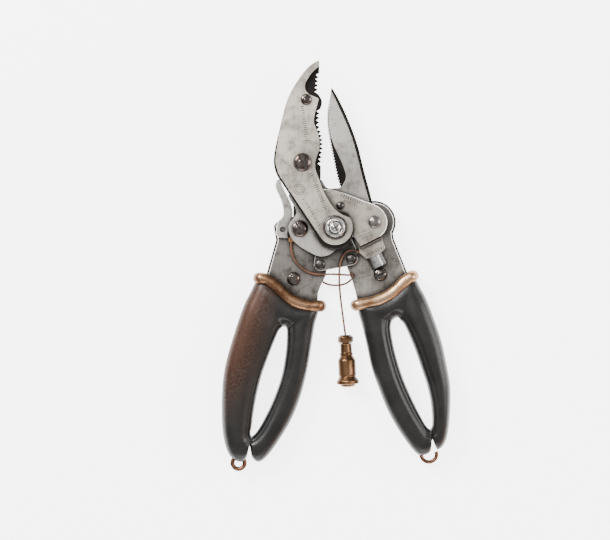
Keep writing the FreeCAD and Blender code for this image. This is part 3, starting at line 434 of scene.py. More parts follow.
# ---------------- grips
# Each row: a point on the grip's outside, the window point it faces, half the depth there
LEFT_ROWS = [
    (-41.5, -27.2, -29.0, -54.2, 7.2), (-46.2, -35.6, -30.3, -55.6, 7.6),
    (-49.6, -42.6, -31.3, -57.8, 7.9), (-53.9, -54.9, -33.2, -62.4, 8.0),
    (-58.6, -70.8, -36.6, -71.4, 8.0), (-60.6, -81.6, -39.6, -80.0, 8.0),
    (-61.3, -92.5, -42.2, -90.2, 8.0), (-61.3, -103.4, -44.0, -100.2, 7.9),
    (-60.5, -112.8, -45.0, -107.6, 7.7), (-58.3, -121.0, -45.6, -110.2, 7.4),
    (-55.0, -125.2, -45.7, -111.2, 7.1), (-50.6, -126.7, -45.6, -112.0, 6.8),
    (-47.8, -124.2, -45.3, -112.5, 6.2), (-46.3, -118.0, -44.9, -112.8, 5.0),
    (-44.8, -124.2, -44.4, -112.6, 5.6), (-41.4, -126.7, -43.8, -111.9, 6.0),
    (-37.0, -124.0, -42.8, -110.8, 6.3), (-30.8, -115.9, -40.4, -107.2, 6.5),
    (-23.5, -103.6, -36.4, -99.6, 6.6), (-18.5, -91.0, -32.6, -91.0, 6.7),
    (-14.9, -76.8, -28.8, -79.5, 6.8), (-12.7, -63.8, -26.6, -66.4, 7.0),
    (-10.9, -52.8, -26.1, -58.4, 7.1), (-8.8, -43.6, -26.1, -55.2, 7.1),
    (-13.8, -42.2, -26.5, -54.2, 7.2), (-19.0, -41.1, -27.0, -53.6, 7.2),
    (-24.6, -38.3, -27.5, -53.5, 7.2), (-29.3, -34.3, -28.0, -53.5, 7.2),
    (-33.0, -30.6, -28.3, -53.6, 7.2), (-37.0, -27.8, -28.7, -53.9, 7.2),
]
RIGHT_ROWS = [
    (42.6, -26.4, 35.6, -50.2, 7.2), (46.4, -32.6, 37.0, -51.6, 7.6),
    (49.6, -38.6, 38.6, -54.6, 7.9), (53.6, -49.0, 40.6, -59.2, 8.0),
    (57.7, -61.3, 43.3, -65.9, 8.0), (60.6, -74.4, 46.9, -76.5, 8.0),
    (62.4, -85.2, 49.8, -85.2, 8.0), (62.5, -96.1, 51.9, -94.6, 7.9),
    (61.8, -106.9, 52.7, -102.6, 7.7), (60.4, -114.3, 52.7, -106.4, 7.4),
    (58.0, -118.6, 52.4, -107.8, 7.0), (55.2, -119.8, 52.1, -108.5, 6.5),
    (52.7, -114.6, 51.6, -108.9, 5.0), (51.6, -121.2, 51.0, -108.7, 5.6),
    (46.6, -123.2, 50.0, -107.9, 6.0), (43.2, -121.2, 48.6, -105.9, 6.3),
    (38.8, -115.8, 46.4, -101.9, 6.5), (33.0, -107.1, 43.4, -96.0, 6.6),
    (28.0, -97.7, 40.3, -89.4, 6.7), (23.7, -86.9, 36.9, -81.2, 6.8),
    (19.7, -75.3, 33.4, -70.2, 6.9), (17.2, -63.7, 31.1, -60.2, 7.0),
    (15.0, -54.3, 30.3, -54.2, 7.1), (12.1, -43.0, 30.7, -51.0, 7.1),
    (14.0, -41.2, 31.6, -49.8, 7.2), (17.4, -40.5, 32.3, -49.2, 7.2),
    (23.7, -39.0, 33.0, -48.8, 7.2), (29.9, -35.9, 33.6, -48.6, 7.2),
    (34.5, -31.9, 34.3, -48.8, 7.2), (38.6, -28.1, 35.0, -49.4, 7.2),
]
DEPTH_MIDDLE = 8.0
ROW_STEPS = 7                   # sections from one row to the next
SECTION = 56                    # points round one section of a bar
SQUARENESS = 2.5                # 2 is an ellipse, more is boxier
CREASE_IN, CREASE_HALF = 3.6, 0.62      # mm from the window's edge, and half its width
CREASE_DEPTH = 0.085            # as a share of the height there
RIM_IN, RIM_HALF, RIM_RISE = 1.9, 1.0, 0.16     # the raised line between crease and window
FULL_CREASE_SPAN = 9.0          # a bar narrower than this, in mm, has a fainter crease


def power(value, exponent):
    """A signed number raised to a power, with its sign kept."""
    return math.copysign(abs(value) ** exponent, value)


def grip(name, rows, finish, body, node):
    """Two rounded bars that part round a window, with a moulded crease beside it."""
    line = smooth_loop(rows, ROW_STEPS)
    points = []
    for ox, oy, wx, wy, half in line:
        span = math.hypot(wx - ox, wy - oy)
        for k in range(SECTION):
            a = 2 * math.pi * k / SECTION
            u = 0.5 - 0.5 * power(math.cos(a), 2 / SQUARENESS)
            lift = power(math.sin(a), 2 / SQUARENESS)
            inner = (1 - u) * span      # mm from the window's edge
            crease = math.exp(-((inner - CREASE_IN) / CREASE_HALF) ** 2)
            crease *= min(1.0, span / FULL_CREASE_SPAN) * CREASE_DEPTH
            rim = math.exp(-((inner - RIM_IN) / RIM_HALF) ** 2)
            height = half * lift * (1.0 - crease) + math.copysign(RIM_RISE * rim, lift)
            height = max(-DEPTH_MIDDLE, min(DEPTH_MIDDLE, height))
            points.append((ox + (wx - ox) * u, oy + (wy - oy) * u, DEPTH_MIDDLE + height))
    piece_from(name, points, ring_faces(len(line), SECTION, True), finish, body, [node])


grip("left_grip_moulded", LEFT_ROWS, LEFT_SKIN, "left_handle", "left_grip")
grip("right_grip_moulded", RIGHT_ROWS, RIGHT_SKIN, "right_handle", "right_grip")

# ---------------- collars
COLLAR_LINES = {
    "left": [(-40.0, -27.4), (-37.0, -27.9), (-33.0, -30.6), (-29.3, -34.3), (-24.6, -38.3),
             (-19.0, -41.1), (-13.8, -42.2), (-8.9, -42.2)],
    "right": [(12.6, -41.6), (17.4, -40.5), (23.7, -39.0), (29.9, -35.9), (34.5, -31.9),
              (38.6, -28.1), (41.2, -26.6)],
}
BEAD = 3.1                      # half the bead's width
BEAD_LOW, BEAD_HIGH = 0.1, 15.9
BEAD_AROUND = 28                # points round the bead
BEAD_SQUARENESS = 0.88          # 1 is round, less is boxier
END_STEPS = 12                  # points down each end of the band
END_BULGE = 0.25                # how far the ends swing out, as a share of the half height
SWELL = 0.05                    # the bead's width wanders by this share
SWELL_RATES = (0.37, 0.11)      # radians from one point of the band to the next


def collar(side, finish):
    """One thick bead wound as a closed band round the grip's mouth."""
    line = smooth_loop(COLLAR_LINES[side], 10, closed=False)
    turn = (BEAD_HIGH - BEAD_LOW) / 2 - BEAD
    path = [(x, y, BEAD_HIGH - BEAD) for x, y in line]
    ends = ((line[-1], line[-1] - line[-2], 1), (line[0], line[0] - line[1], -1))
    loops = []
    for at, away, sense in ends:
        away = away / np.linalg.norm(away)
        loops.append([(*(at + away * turn * END_BULGE * math.sin(a)),
                       DEPTH_MIDDLE + sense * turn * math.cos(a))
                      for a in np.linspace(0, math.pi, END_STEPS + 2)[1:-1]])
    path += loops[0] + [(x, y, BEAD_LOW + BEAD) for x, y in line[::-1]] + loops[1]
    path = np.array(path)
    count = len(path)
    points = []
    for i in range(count):
        along = path[(i + 1) % count] - path[i - 1]
        along /= np.linalg.norm(along)
        j = int(np.argmin(np.linalg.norm(line - path[i][:2], axis=1)))
        j = min(max(j, 1), len(line) - 2)
        run = line[j + 1] - line[j - 1]
        run /= np.linalg.norm(run)
        side_way = np.array([-run[1], run[0], 0.0])
        out_way = np.cross(along, side_way)
        out_way /= np.linalg.norm(out_way)
        swell = 1.0 + SWELL * math.sin(i * SWELL_RATES[0]) * math.sin(i * SWELL_RATES[1])
        for k in range(BEAD_AROUND):
            a = 2 * math.pi * k / BEAD_AROUND
            w = power(math.cos(a), BEAD_SQUARENESS) * BEAD * swell
            h = power(math.sin(a), BEAD_SQUARENESS) * BEAD
            points.append(path[i] + side_way * w + out_way * h)
    clipped = [(p[0], p[1], min(max(p[2], BEAD_LOW), BEAD_HIGH)) for p in points]
    piece_from(f"{side}_collar_bead", clipped, ring_faces(count, BEAD_AROUND, True), finish,
               f"{side}_handle", [f"{side}_collar"])


collar("left", BROWN)
collar("right", COPPER)


# ---------------- cords
def route_line(name, route):
    """The smooth line that a cord follows, taken from a NURBS curve through its route."""
    data = bpy.data.curves.new(name, "CURVE")
    data.dimensions = "3D"
    data.resolution_u = CORD_TURN
    spline = data.splines.new("NURBS")
    spline.points.add(len(route) - 1)
    for point, at in zip(spline.points, route):
        point.co = (*(c * MM for c in at), 1.0)
    spline.order_u = 3
    spline.use_endpoint_u = True
    held = bpy.data.objects.new(name, data)
    scene.collection.objects.link(held)
    mesh = held.to_mesh()
    line = np.array([tuple(v.co) for v in mesh.vertices]) / MM
    held.to_mesh_clear()
    bpy.data.objects.remove(held)
    return line


def evenly(line, gap):
    """The same line with points a set distance apart, in mm, and its length."""
    steps = np.linalg.norm(np.diff(line, axis=0), axis=1)
    run = np.concatenate([[0], np.cumsum(steps)])
    at = np.linspace(0, run[-1], max(2, int(run[-1] / gap) + 1))
    return np.array([[np.interp(a, run, line[:, c]) for c in range(3)] for a in at]), run[-1]


CORD_WIDTH = 1.2
STRANDS = 3
TWIST = 2.6                     # mm along the cord for one turn of the strands
STRAND_GROOVE = 0.20            # how deep the strands' grooves are, as a share of the radius
CORD_STEP = 0.16                # mm between the cord's rings of points
CORD_AROUND = 18                # points in one ring
CORD_TURN = 16                  # straight pieces between two points of a route


def twisted_cord(name, route, body, node):
    """A cord of three twisted strands along a route, in mm; stands for its CAD node."""
    line, length = evenly(route_line(name, route), CORD_STEP)
    points, across = [], None
    for i, at in enumerate(line):
        along = line[min(i + 1, len(line) - 1)] - line[max(i - 1, 0)]
        along /= np.linalg.norm(along)
        if across is None:
            across = np.cross(along, (0, 0, 1.0))
        across = across - along * np.dot(across, along)
        across /= np.linalg.norm(across)
        other = np.cross(along, across)
        phase = 2 * math.pi * i * CORD_STEP / TWIST
        for k in range(CORD_AROUND):
            a = 2 * math.pi * k / CORD_AROUND
            bulge = abs(math.cos((a - phase) * STRANDS / 2))
            r = CORD_WIDTH / 2 * (1.0 - STRAND_GROOVE + STRAND_GROOVE * bulge)
            points.append(at + (across * math.cos(a) + other * math.sin(a)) * r)
    faces = ring_faces(len(line), CORD_AROUND, False) + cap_faces(len(line), CORD_AROUND)
    made = piece_from(name, points, faces, CORD, body, [node])


KEEPER_ROUTE = [(x, y, 10.38) for x, y in (
    (-23.7, -7.64), (-23.8, -11.4), (-22.9, -15.4), (-20.6, -19.4), (-17.0, -22.7),
    (-12.6, -24.9), (-7.6, -25.3), (-2.4, -25.0), (2.6, -25.2), (7.8, -25.6))]
LOOP_ROUTE = [(x, y, 5.5) for x, y in (
    (-8.8, -23.4), (-8.6, -26.6), (-6.4, -29.6), (-2.6, -31.0), (2.0, -31.2), (6.4, -30.2),
    (9.6, -27.4), (9.9, -23.8), (9.2, -20.2))]
PENDANT_ROUTE = [
    (13.4, -13.4, 12.3), (10.4, -11.8, 12.3), (6.6, -12.4, 12.3), (3.8, -15.6, 12.3),
    (2.5, -20.4, 12.3), (2.2, -26.4, 12.3), (2.5, -33.0, 11.7), (3.3, -40.4, 9.9),
    (4.5, -49.2, 7.3), (5.7, -57.9, 6.1)]


def turned_piece(name, profile, finish, body, node, start, end, weave=None, around=56):
    """A piece turned about the line from start towards end; profile is (distance, radius)."""
    start, axis = np.array(start), np.array(end) - np.array(start)
    axis = axis / np.linalg.norm(axis)
    across = np.cross(axis, (0, 0, 1.0))
    other = np.cross(axis, across)
    points = []
    for along, radius in profile:
        for k in range(around):
            a = 2 * math.pi * k / around
            r = radius * (weave(along, a) if weave else 1.0)
            spoke = across * math.cos(a) + other * math.sin(a)
            points.append(start + axis * along + spoke * r)
    faces = ring_faces(len(profile), around, False) + cap_faces(len(profile), around)
    return piece_from(name, points, faces, finish, body, [node])


BOB_TOP, BOB_FOOT = (5.7, -58.0, 6.1), (7.2, -86.4, 6.1)
CAP_LENGTH = 4.8
PROFILE_STEP = 0.12             # mm between points along a turned profile
HEXAGON = 0.65                  # 1 has sharp corners, 0 is round


def rounded_profile(knots, gap, soften):
    """Steps of (distance, radius) with each corner eased over a short length."""
    line = np.array(knots, float)
    steps = np.linalg.norm(np.diff(line, axis=0), axis=1)
    run = np.concatenate([[0], np.cumsum(steps)])
    at = np.linspace(0, run[-1], int(run[-1] / gap) + 1)
    even = np.stack([np.interp(at, run, line[:, c]) for c in range(2)], axis=1)
    width = max(1, int(soften / gap))
    kernel = np.ones(2 * width + 1) / (2 * width + 1)
    padded = np.concatenate([np.repeat(even[:1], width, 0), even,
                             np.repeat(even[-1:], width, 0)])
    return np.stack([np.convolve(padded[:, c], kernel, "valid") for c in range(2)], axis=1)


def six_sided(along, angle):
    """A hexagon with softened corners, as a share of the radius, the same all along."""
    flat = math.cos(math.pi / 6) / math.cos((angle % (math.pi / 3)) - math.pi / 6)
    return 1.0 - HEXAGON + HEXAGON * flat


cap_knots = [(0.0, 0.7), (0.0, 2.8), (0.9, 3.9), (1.3, 4.2), (3.5, 4.2), (3.9, 3.9), (4.6, 3.2),
             (CAP_LENGTH, 1.0)]
bob_cap = turned_piece("bob_cap_six_sided", rounded_profile(cap_knots, PROFILE_STEP, 0.14), BOB,
                       "pendant", "bob_cap", BOB_TOP, BOB_FOOT, six_sided, 96)
weight_knots = [
    (CAP_LENGTH, 1.0), (CAP_LENGTH, 3.1), (9.6, 3.2), (10.0, 3.55), (11.0, 3.55), (11.3, 3.25),
    (12.0, 3.7), (13.2, 4.45), (14.0, 4.75), (22.0, 4.75), (22.3, 4.5), (22.8, 4.5), (23.1, 4.8),
    (24.0, 5.35), (24.8, 5.95), (25.3, 6.05), (26.4, 6.05), (26.7, 5.6), (27.0, 3.9), (27.5, 3.9),
    (28.0, 3.3), (28.3, 2.2), (28.35, 0.8)]
bob_weight = turned_piece("bob_weight_turned", rounded_profile(weight_knots, PROFILE_STEP, 0.13),
                          BOB, "pendant", "bob_weight", BOB_TOP, BOB_FOOT)

# The keeper's end knot: a trefoil of cord drawn tight
KNOT_CENTRE = np.array([7.8 + 1.26, -25.6, 10.38])
KNOT_SPREAD, KNOT_RISE = 0.36, 0.5      # mm sideways and up for one unit of the trefoil
KNOT_CORD = 0.42                # radius of the cord in the knot
KNOT_STEPS, KNOT_AROUND = 120, 10
tangle = np.array([((math.sin(t) + 2 * math.sin(2 * t)) * KNOT_SPREAD,
                    (math.cos(t) - 2 * math.cos(2 * t)) * KNOT_SPREAD,
                    -math.sin(3 * t) * KNOT_RISE)
                   for t in np.linspace(0, 2 * math.pi, KNOT_STEPS, endpoint=False)])
knot_points = []
for i, at in enumerate(tangle):
    along = tangle[(i + 1) % KNOT_STEPS] - tangle[i - 1]
    along /= np.linalg.norm(along)
    across = np.cross(along, at / np.linalg.norm(at))
    across /= np.linalg.norm(across)
    other = np.cross(along, across)
    for k in range(KNOT_AROUND):
        a = 2 * math.pi * k / KNOT_AROUND
        spoke = across * math.cos(a) + other * math.sin(a)
        knot_points.append(KNOT_CENTRE + at + spoke * KNOT_CORD)
cord_knot = piece_from("cord_knot_tied", knot_points, ring_faces(KNOT_STEPS, KNOT_AROUND, True),
                       CORD, "left_handle", ["cord_knot"])
twisted_cord("keeper_cord_twisted", KEEPER_ROUTE, "left_handle", "keeper_cord")
twisted_cord("loop_cord_twisted", LOOP_ROUTE, "frame", "loop_cord")
twisted_cord("pendant_cord_twisted", PENDANT_ROUTE, "pendant", "pendant_cord")


# ---------------- screws and rivets
HEAD_SHARP = 42                 # degrees; corners sharper than this stay crisp on turned heads
SLOT_FOOT, SLOT_MOUTH = 0.8, 1.25       # a slot's width at its foot and mouth, as shares


def lathe(name, at, profile, finish, around=64):
    """A mesh turned about the vertical through at, from (radius, height) steps."""
    points = [(at[0] + r * math.cos(2 * math.pi * k / around),
               at[1] + r * math.sin(2 * math.pi * k / around), z)
              for r, z in profile for k in range(around)]
    mesh = bpy.data.meshes.new(name)
    faces = ring_faces(len(profile), around, False) + cap_faces(len(profile), around)
    mesh.from_pydata([tuple(c * MM for c in p) for p in points], [], faces)
    mesh.materials.append(finish)
    return mesh


def wedge(name, at, width, length, low, high, turn):
    """A slot cutter: wider at its mouth than at its foot."""
    mesh = bpy.data.meshes.new(name)
    points = []
    for z, flare in ((low, SLOT_FOOT), (high, SLOT_MOUTH)):
        for x, y in ((-0.5, -0.5), (0.5, -0.5), (0.5, 0.5), (-0.5, 0.5)):
            a = math.radians(turn)
            px, py = x * length, y * width * flare
            points.append((at[0] + px * math.cos(a) - py * math.sin(a),
                           at[1] + px * math.sin(a) + py * math.cos(a), z))
    mesh.from_pydata([tuple(c * MM for c in p) for p in points], [],
                     [(3, 2, 1, 0), (4, 5, 6, 7), (0, 1, 5, 4), (1, 2, 6, 5), (2, 3, 7, 6),
                      (3, 0, 4, 7)])
    mesh.materials.append(MARK)
    return mesh


def fastener(node, body, finish, at, profile, slots=()):
    """A turned screw or rivet with its driving slots cut; stands for its CAD node."""
    name = f"{node}_turned"
    made = bpy.data.objects.new(name, lathe(name, at, rounded_steps(profile), finish))
    made.data.shade_smooth()
    scene.collection.objects.link(made)
    helpers = []
    for number, (width, length, low, high, turn) in enumerate(slots):
        cut = f"{name}_cut{number}"
        helper = bpy.data.objects.new(cut, wedge(cut, at, width, length, low, high, turn))
        scene.collection.objects.link(helper)
        helpers.append(helper)
        cutting = made.modifiers.new("slot", "BOOLEAN")
        cutting.object, cutting.operation, cutting.solver = helper, "DIFFERENCE", "EXACT"
        cutting.material_mode = "TRANSFER"
    bpy.context.view_layer.update()
    evaluated = made.evaluated_get(bpy.context.evaluated_depsgraph_get())
    mesh = bpy.data.meshes.new_from_object(evaluated)
    for thing in [made, *helpers]:
        bpy.data.objects.remove(thing)
    mesh.name = name
    mesh.shade_smooth()
    mesh.set_sharp_from_angle(angle=math.radians(HEAD_SHARP))
    placed(name, mesh, body, [node], smooth=False)


def rounded_steps(profile):
    """(radius, height) steps with their corners eased."""
    eased_line = rounded_profile([(z, r) for r, z in profile], 0.07, 0.09)
    return [(r, z) for z, r in eased_line]


RIM_HEIGHT = 0.6                # mm from under a head to the foot of its dome
DOME_INSET = 0.3                # the dome is this much smaller than the rim, in mm
DOME_STEPS = 12


def domed(radius, low, rise, shank, shank_low):
    """A shank, an undercut rim and a low dome, as (radius, height) steps."""
    steps = [(0.3, shank_low), (shank, shank_low), (shank, low), (radius - 0.25, low),
             (radius - 0.05, low + 0.35), (radius - DOME_INSET, low + RIM_HEIGHT)]
    for k in range(1, DOME_STEPS + 1):
        a = math.pi / 2 * k / DOME_STEPS
        steps.append(((radius - DOME_INSET) * math.cos(a) + 0.02,
                      low + RIM_HEIGHT + (rise - RIM_HEIGHT) * math.sin(a)))
    return steps


LEFT_DRIVE, RIGHT_DRIVE = (-19.1, -0.5), (21.3, 3.0)
LEFT_PIVOT, RIGHT_PIVOT = (-7.9, -19.8), (8.7, -16.6)
HOOK_SCREW, TIP_SCREW, STOP_PIN = (-17.6, 34.9), (-15.5, 68.6), (2.9, 11.9)
LEFT_SCREW, RIGHT_SCREW = (-22.4, -27.5), (24.6, -25.2)
# Plate faces that heads and marks sit on, in mm above the table
HOOK_FACE, HEAD_FACE, TAB_FACE = 21.0, 16.6, 14.6
CHEEK_FACE, CENTRE_FACE, HANDLE_FACE = 14.3, 11.4, 9.3
# node, body, finish, place, then domed()'s sizes, and a slot's width, length, foot, top and turn
HEADS = [
    ("hook_screw", "hook_jaw", SCREW, HOOK_SCREW, (4.9, HOOK_FACE, 2.0, 1.98, 16.62),
     [(1.25, 12, 21.8, 24, -60)]),
    ("tip_screw", "hook_jaw", SCREW, TIP_SCREW, (3.0, HOOK_FACE, 1.4, 1.48, 16.62),
     [(0.8, 8, 21.7, 24, -50)]),
    ("blade_screw", "blade", SCREW, LEFT_DRIVE, (4.55, CHEEK_FACE, 2.0, 1.98, 6.72),
     [(1.15, 12, 15.1, 18, -56)]),
    ("stop_pin", "hook_jaw", RIVET, STOP_PIN, (2.2, HEAD_FACE, 1.3, 1.48, 14.62), []),
    ("head_rivet", "hook_jaw", DOME, RIGHT_DRIVE, (3.4, HEAD_FACE, 1.6, 1.98, 6.72), []),
    ("left_handle_screw", "left_handle", SCREW, LEFT_SCREW, (3.6, HANDLE_FACE, 1.7, 1.48, 5.72),
     [(0.95, 10, 10.1, 13, -52)]),
    ("right_handle_screw", "right_handle", SCREW, RIGHT_SCREW,
     (3.6, HANDLE_FACE, 1.7, 1.48, 5.72), [(0.95, 10, 10.1, 13, 22)]),
    ("left_pivot_rivet", "frame", RIVET, LEFT_PIVOT, (2.6, CENTRE_FACE, 1.1, 1.78, 3.72), []),
    ("right_pivot_rivet", "frame", RIVET, RIGHT_PIVOT, (2.6, CENTRE_FACE, 1.1, 1.78, 3.72), []),
]
for node, body, finish, at, sizes, slots in HEADS:
    fastener(node, body, finish, at, domed(*sizes), slots)
# The bolt's head: a raised ring, a groove and a cross-cut middle
fastener("main_bolt", "frame", CHROME, (0.0, 0.0), [
    (0.3, 0.02), (2.95, 0.02), (2.95, 21.98), (5.2, 21.98), (5.35, 22.3), (5.2, 22.8),
    (4.7, 23.25), (4.1, 23.3), (3.6, 22.95), (3.35, 22.55), (3.1, 22.6), (2.95, 23.2),
    (2.5, 23.7), (1.6, 24.0), (0.7, 24.12), (0.05, 24.14)],
    [(0.62, 5.4, 22.9, 25, -58), (0.42, 4.6, 23.1, 25, 32)])
fastener("main_washer", "frame", RIVET, (0.0, 0.0), [
    (3.02, 21.1), (6.3, 21.1), (6.4, 21.5), (6.2, 21.9), (5.6, 21.96), (3.02, 21.96)])


# ---------------- plates with eased edges
SAME_POINT = 2e-6               # m; points closer than this are one
FLAT = 0.006                    # radians; faces that turn less than this are merged
EDGE_TURN = 0.7                 # radians; edges that turn more than this are eased
PLATE_SHARP = 16                # degrees; keeps a plate's flat faces flat in the light


def eased(node, finish, body, width, segments=2):
    """The CAD plate's own shape with its sharp edges rounded over."""
    bm = bmesh.new()
    bm.from_mesh(nodes[node].data)
    bmesh.ops.remove_doubles(bm, verts=bm.verts, dist=SAME_POINT)
    bmesh.ops.dissolve_limit(bm, angle_limit=FLAT, verts=bm.verts, edges=bm.edges)
    sharp = [e for e in bm.edges if len(e.link_faces) == 2 and e.calc_face_angle(0.0) > EDGE_TURN]
    bmesh.ops.bevel(bm, geom=sharp, offset=width * MM, segments=segments, profile=0.6,
                    affect="EDGES", clamp_overlap=True)
    mesh = bpy.data.meshes.new(f"{node}_eased")
    bm.to_mesh(mesh)
    bm.free()
    mesh.materials.append(finish)
    mesh.shade_smooth()
    mesh.set_sharp_from_angle(angle=math.radians(PLATE_SHARP))
    placed(f"{node}_eased", mesh, body, [node], smooth=False)


eased("hook_front_plate", PALE, "hook_jaw", 0.32)
eased("blade_cheek", CHEEK, "blade", 0.2)
eased("guard_tab", HEAD_PALE, "hook_jaw", 0.28)
eased("blade_saw", DARK, "blade", 0.08, 1)
eased("saw_insert", DARK, "hook_jaw", 0.1, 1)


def prism(name, first, last, section, finish, body):
    """A strip from first to last (mm) whose section is (outwards, height) steps."""
    run = np.array([last[0] - first[0], last[1] - first[1]], float)
    run /= np.linalg.norm(run)
    away = np.array([run[1], -run[0]])
    points = []
    for at in (np.array(first), np.array(last)):
        points += [(*(at + away * out), z) for out, z in section]
    count = len(section)
    faces = [tuple(range(count)), tuple(reversed(range(count, 2 * count)))]
    faces += [(k, k + count, (k + 1) % count + count, (k + 1) % count) for k in range(count)]
    piece_from(name, points, faces, finish, body, smooth=False)


# The head plate rolls down to the guard tab along its lower edge; the roll is drawn in the dark
# steel as painted shade
prism("tab_bend", (13.5, -9.95), (24.2, -4.6),
      [(0.0, 14.62), (0.0, 16.3)] + [(2.1 * math.sin(a), 14.62 + 1.72 * math.cos(a))
                                     for a in np.linspace(0.12, math.pi / 2, 9)],
      DARK, "hook_jaw")


# ---------------- engraved tick marks
class NodeRow:
    """Builds a Geometry Nodes tree with one method per need."""

    def __init__(self, name):
        self.tree = bpy.data.node_groups.new(name, "GeometryNodeTree")
        self.tree.interface.new_socket("Geometry", in_out="OUTPUT",
                                       socket_type="NodeSocketGeometry")
        self.start = self.tree.nodes.new("NodeGroupInput")
        self.end = self.tree.nodes.new("NodeGroupOutput")

    def asks(self, name, kind):
        self.tree.interface.new_socket(name, in_out="INPUT", socket_type=kind)
        return self.start.outputs[name]

    def node(self, kind, links=None, **settings):
        made = self.tree.nodes.new(kind)
        for key, value in settings.items():
            setattr(made, key, value)
        for key, source in (links or {}).items():
            socket = made.inputs[key]
            if hasattr(source, "is_output"):
                self.tree.links.new(source, socket)
            else:
                socket.default_value = source
        return made


def mark_tree():
    row = NodeRow("tick_marks")
    start = row.asks("Start", "NodeSocketVector")
    step = row.asks("Step", "NodeSocketVector")
    count = row.asks("Count", "NodeSocketInt")
    size = row.asks("Size", "NodeSocketVector")
    turn = row.asks("Turn", "NodeSocketVector")
    seed = row.asks("Seed", "NodeSocketInt")
    finish = row.asks("Finish", "NodeSocketMaterial")
    line = row.node("GeometryNodeMeshLine", {"Count": count, "Start Location": start,
                                             "Offset": step})
    block = row.node("GeometryNodeMeshCube", {"Size": size})
    vary = row.node("FunctionNodeRandomValue", data_type="FLOAT_VECTOR")
    vary.inputs[0].default_value, vary.inputs[1].default_value = (0.5, 0.55, 1), (1.15, 1.0, 1)
    row.tree.links.new(seed, vary.inputs["Seed"])
    copies = row.node("GeometryNodeInstanceOnPoints", {
        "Points": line.outputs[0], "Instance": block.outputs[0], "Rotation": turn,
        "Scale": vary.outputs[0]})
    real = row.node("GeometryNodeRealizeInstances", {"Geometry": copies.outputs[0]})
    painted = row.node("GeometryNodeSetMaterial", {"Geometry": real.outputs[0],
                                                   "Material": finish})
    row.tree.links.new(painted.outputs[0], row.end.inputs[0])
    return row.tree


MARK_TREE = mark_tree()


def marks(name, body, first, last, count, size, height, seed):
    """A row of small cuts from first to last (mm), lying just on the surface at height."""
    holder = bpy.data.objects.new(name, bpy.data.meshes.new(name))
    scene.collection.objects.link(holder)
    modifier = holder.modifiers.new("marks", "NODES")
    modifier.node_group = MARK_TREE
    run = Vector((last[0] - first[0], last[1] - first[1], 0))
    inputs = {"Start": (first[0] * MM, first[1] * MM, height * MM),
              "Step": tuple(run / (count - 1) * MM), "Count": count,
              "Size": tuple(s * MM for s in size), "Turn": (0, 0, math.atan2(run.y, run.x)),
              "Seed": seed, "Finish": MARK}
    for socket in MARK_TREE.interface.items_tree:
        if socket.name in inputs:
            modifier[socket.identifier] = inputs[socket.name]
    holder.update_tag()
    bpy.context.view_layer.update()
    evaluated = holder.evaluated_get(bpy.context.evaluated_depsgraph_get())
    mesh = bpy.data.meshes.new_from_object(evaluated)
    bpy.data.objects.remove(holder)
    placed(name, mesh, body, smooth=False)


# name, body, first and last mark, how many, size of one, the face it is on, and its seed
MARK_ROWS = [
    ("hook_marks_upper", "hook_jaw", (-17.7, 64.9), (-15.1, 46.6), 17,
     (0.42, 2.4, 0.05), HOOK_FACE, 3),
    ("hook_marks_middle", "hook_jaw", (-12.5, 29.2), (-5.2, 9.9), 19,
     (0.42, 2.2, 0.05), HOOK_FACE, 5),
    ("hook_marks_lower", "hook_jaw", (-16.9, 15.2), (-8.6, 1.4), 13,
     (0.4, 1.6, 0.05), HOOK_FACE, 9),
    ("head_marks_upper", "hook_jaw", (3.6, 17.4), (14.5, 13.0), 10,
     (0.46, 1.8, 0.05), HEAD_FACE, 11),
    ("head_marks_lower", "hook_jaw", (4.8, 14.6), (10.2, 11.9), 6,
     (0.36, 1.2, 0.04), HEAD_FACE, 12),
    ("head_marks_low_1", "hook_jaw", (11.9, -3.4), (17.9, -0.9), 9,
     (0.26, 0.9, 0.04), HEAD_FACE, 13),
    ("head_marks_low_2", "hook_jaw", (12.7, -5.0), (19.3, -2.2), 10,
     (0.26, 0.7, 0.04), HEAD_FACE, 14),
    ("head_marks_low_3", "hook_jaw", (14.2, -6.1), (18.9, -4.1), 7,
     (0.26, 0.6, 0.04), HEAD_FACE, 15),
    ("right_handle_marks", "right_handle", (12.4, -27.6), (19.4, -25.6), 8,
     (0.3, 1.2, 0.04), HANDLE_FACE, 17),
    ("left_handle_marks", "left_handle", (-19.0, -33.6), (-14.8, -30.6), 6,
     (0.3, 1.1, 0.04), HANDLE_FACE, 18),
    ("right_handle_line", "right_handle", (27.7, -23.2), (35.1, -19.1), 24,
     (0.34, 0.12, 0.04), HANDLE_FACE, 19),
    ("tab_marks", "hook_jaw", (17.3, -14.7), (24.9, -11.0), 9,
     (0.4, 1.6, 0.04), TAB_FACE, 16),
]
for row in MARK_ROWS:
    marks(*row)

RING_CENTRE = (-19.4, 20.4)
RING_RADII = (2.9, 1.9)
RING_WIDTH = 0.22
RING_LOW, RING_HIGH = HOOK_FACE - 0.02, HOOK_FACE + 0.02
RING_STEPS = 72
for number, radius in enumerate(RING_RADII):
    inside = radius - RING_WIDTH
    ring_points = [(RING_CENTRE[0] + r * math.cos(a), RING_CENTRE[1] + r * math.sin(a), z)
                   for a in np.linspace(0, 2 * math.pi, RING_STEPS, endpoint=False)
                   for r, z in ((radius, RING_LOW), (radius, RING_HIGH), (inside, RING_HIGH),
                                (inside, RING_LOW))]
    piece_from(f"hook_ring_mark_{number}", ring_points, ring_faces(RING_STEPS, 4, True), MARK,
               "hook_jaw", smooth=False)

# ---------------- floor and light
FLOOR_REACH = 3.0               # m from the middle to each side
FLOOR_PALE, FLOOR_CLOUD = 0.93, 0.985   # its grey, and how much darker its clouds are


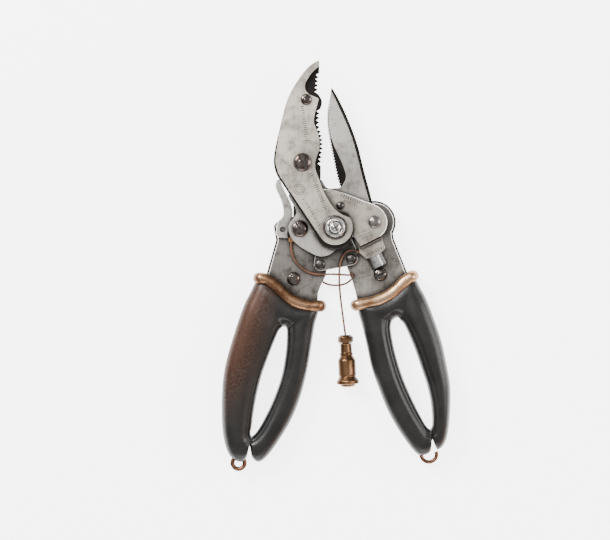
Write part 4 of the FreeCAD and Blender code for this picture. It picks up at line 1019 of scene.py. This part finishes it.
def floor_paint():
    """Matt pale paint with a faint glow, so the floor stays near white."""
    f = Finish("floor_paint")
    cloud = f.noise(9, 3.0)
    f.set(base_color=f.blend(cloud, (FLOOR_PALE,) * 3, (FLOOR_PALE * FLOOR_CLOUD,) * 3),
          roughness=0.9, emission_color=f.blend(cloud, (1.0,) * 3, (FLOOR_CLOUD,) * 3),
          emission_strength=4.2)
    return f.material


floor_mesh = bpy.data.meshes.new("floor")
floor_mesh.from_pydata([(x * FLOOR_REACH, y * FLOOR_REACH, 0)
                        for x, y in ((-1, -1), (1, -1), (1, 1), (-1, 1))], [], [(0, 1, 2, 3)])
floor_mesh.materials.append(floor_paint())
floor = bpy.data.objects.new("floor", floor_mesh)
scene.collection.objects.link(floor)


def lamp(name, at, aim, width, height, watts, colour=(1, 1, 1)):
    """A soft rectangular light at a point in metres, turned towards another."""
    data = bpy.data.lights.new(name, "AREA")
    data.shape, data.size, data.size_y = "RECTANGLE", width, height
    data.energy, data.color = watts, colour
    made = bpy.data.objects.new(name, data)
    made.location = at
    made.rotation_mode = "QUATERNION"
    made.rotation_quaternion = (Vector(aim) - Vector(at)).to_track_quat("-Z", "Y")
    scene.collection.objects.link(made)


lamp("key", (-0.6, 0.6, 0.75), (0, -0.02, 0), 0.5, 0.4, 21.0)
lamp("fill", (0.85, 0.1, 0.6), (0, -0.02, 0), 0.35, 0.8, 9.0, (1.0, 0.98, 0.95))
lamp("front", (0.0, -1.0, 0.55), (0, -0.02, 0), 1.0, 0.25, 8.0)
lamp("spark", (-0.2, 0.26, 0.95), (0, 0, 0), 0.07, 0.07, 2.6)
lamp("warm_card", (0.3, -0.28, 0.14), (0, 0, 0.02), 0.25, 0.12, 0.3, (1.0, 0.46, 0.24))

# The room is dark overhead and bright at its walls, so flat steel stays grey and edges shine
room = bpy.data.worlds.new("room")
scene.world = room
room.use_nodes = True
room_tree = room.node_tree
ray = room_tree.nodes.new("ShaderNodeTexCoord")
direction = room_tree.nodes.new("ShaderNodeSeparateXYZ")
walls = room_tree.nodes.new("ShaderNodeValToRGB")
room_tree.links.new(ray.outputs["Generated"], direction.inputs[0])
room_tree.links.new(direction.outputs[2], walls.inputs[0])
ramp = walls.color_ramp.elements
for stop, (at, grey) in zip((ramp[0], ramp[1], ramp.new(0.55)),
                            ((0.0, 1.0), (1.0, 0.06), (0.62, 0.4))):
    stop.position = at
    stop.color = (grey, grey, grey * 0.99, 1)
room_tree.links.new(walls.outputs[0], room_tree.nodes["Background"].inputs["Color"])
room_tree.nodes["Background"].inputs["Strength"].default_value = 0.75
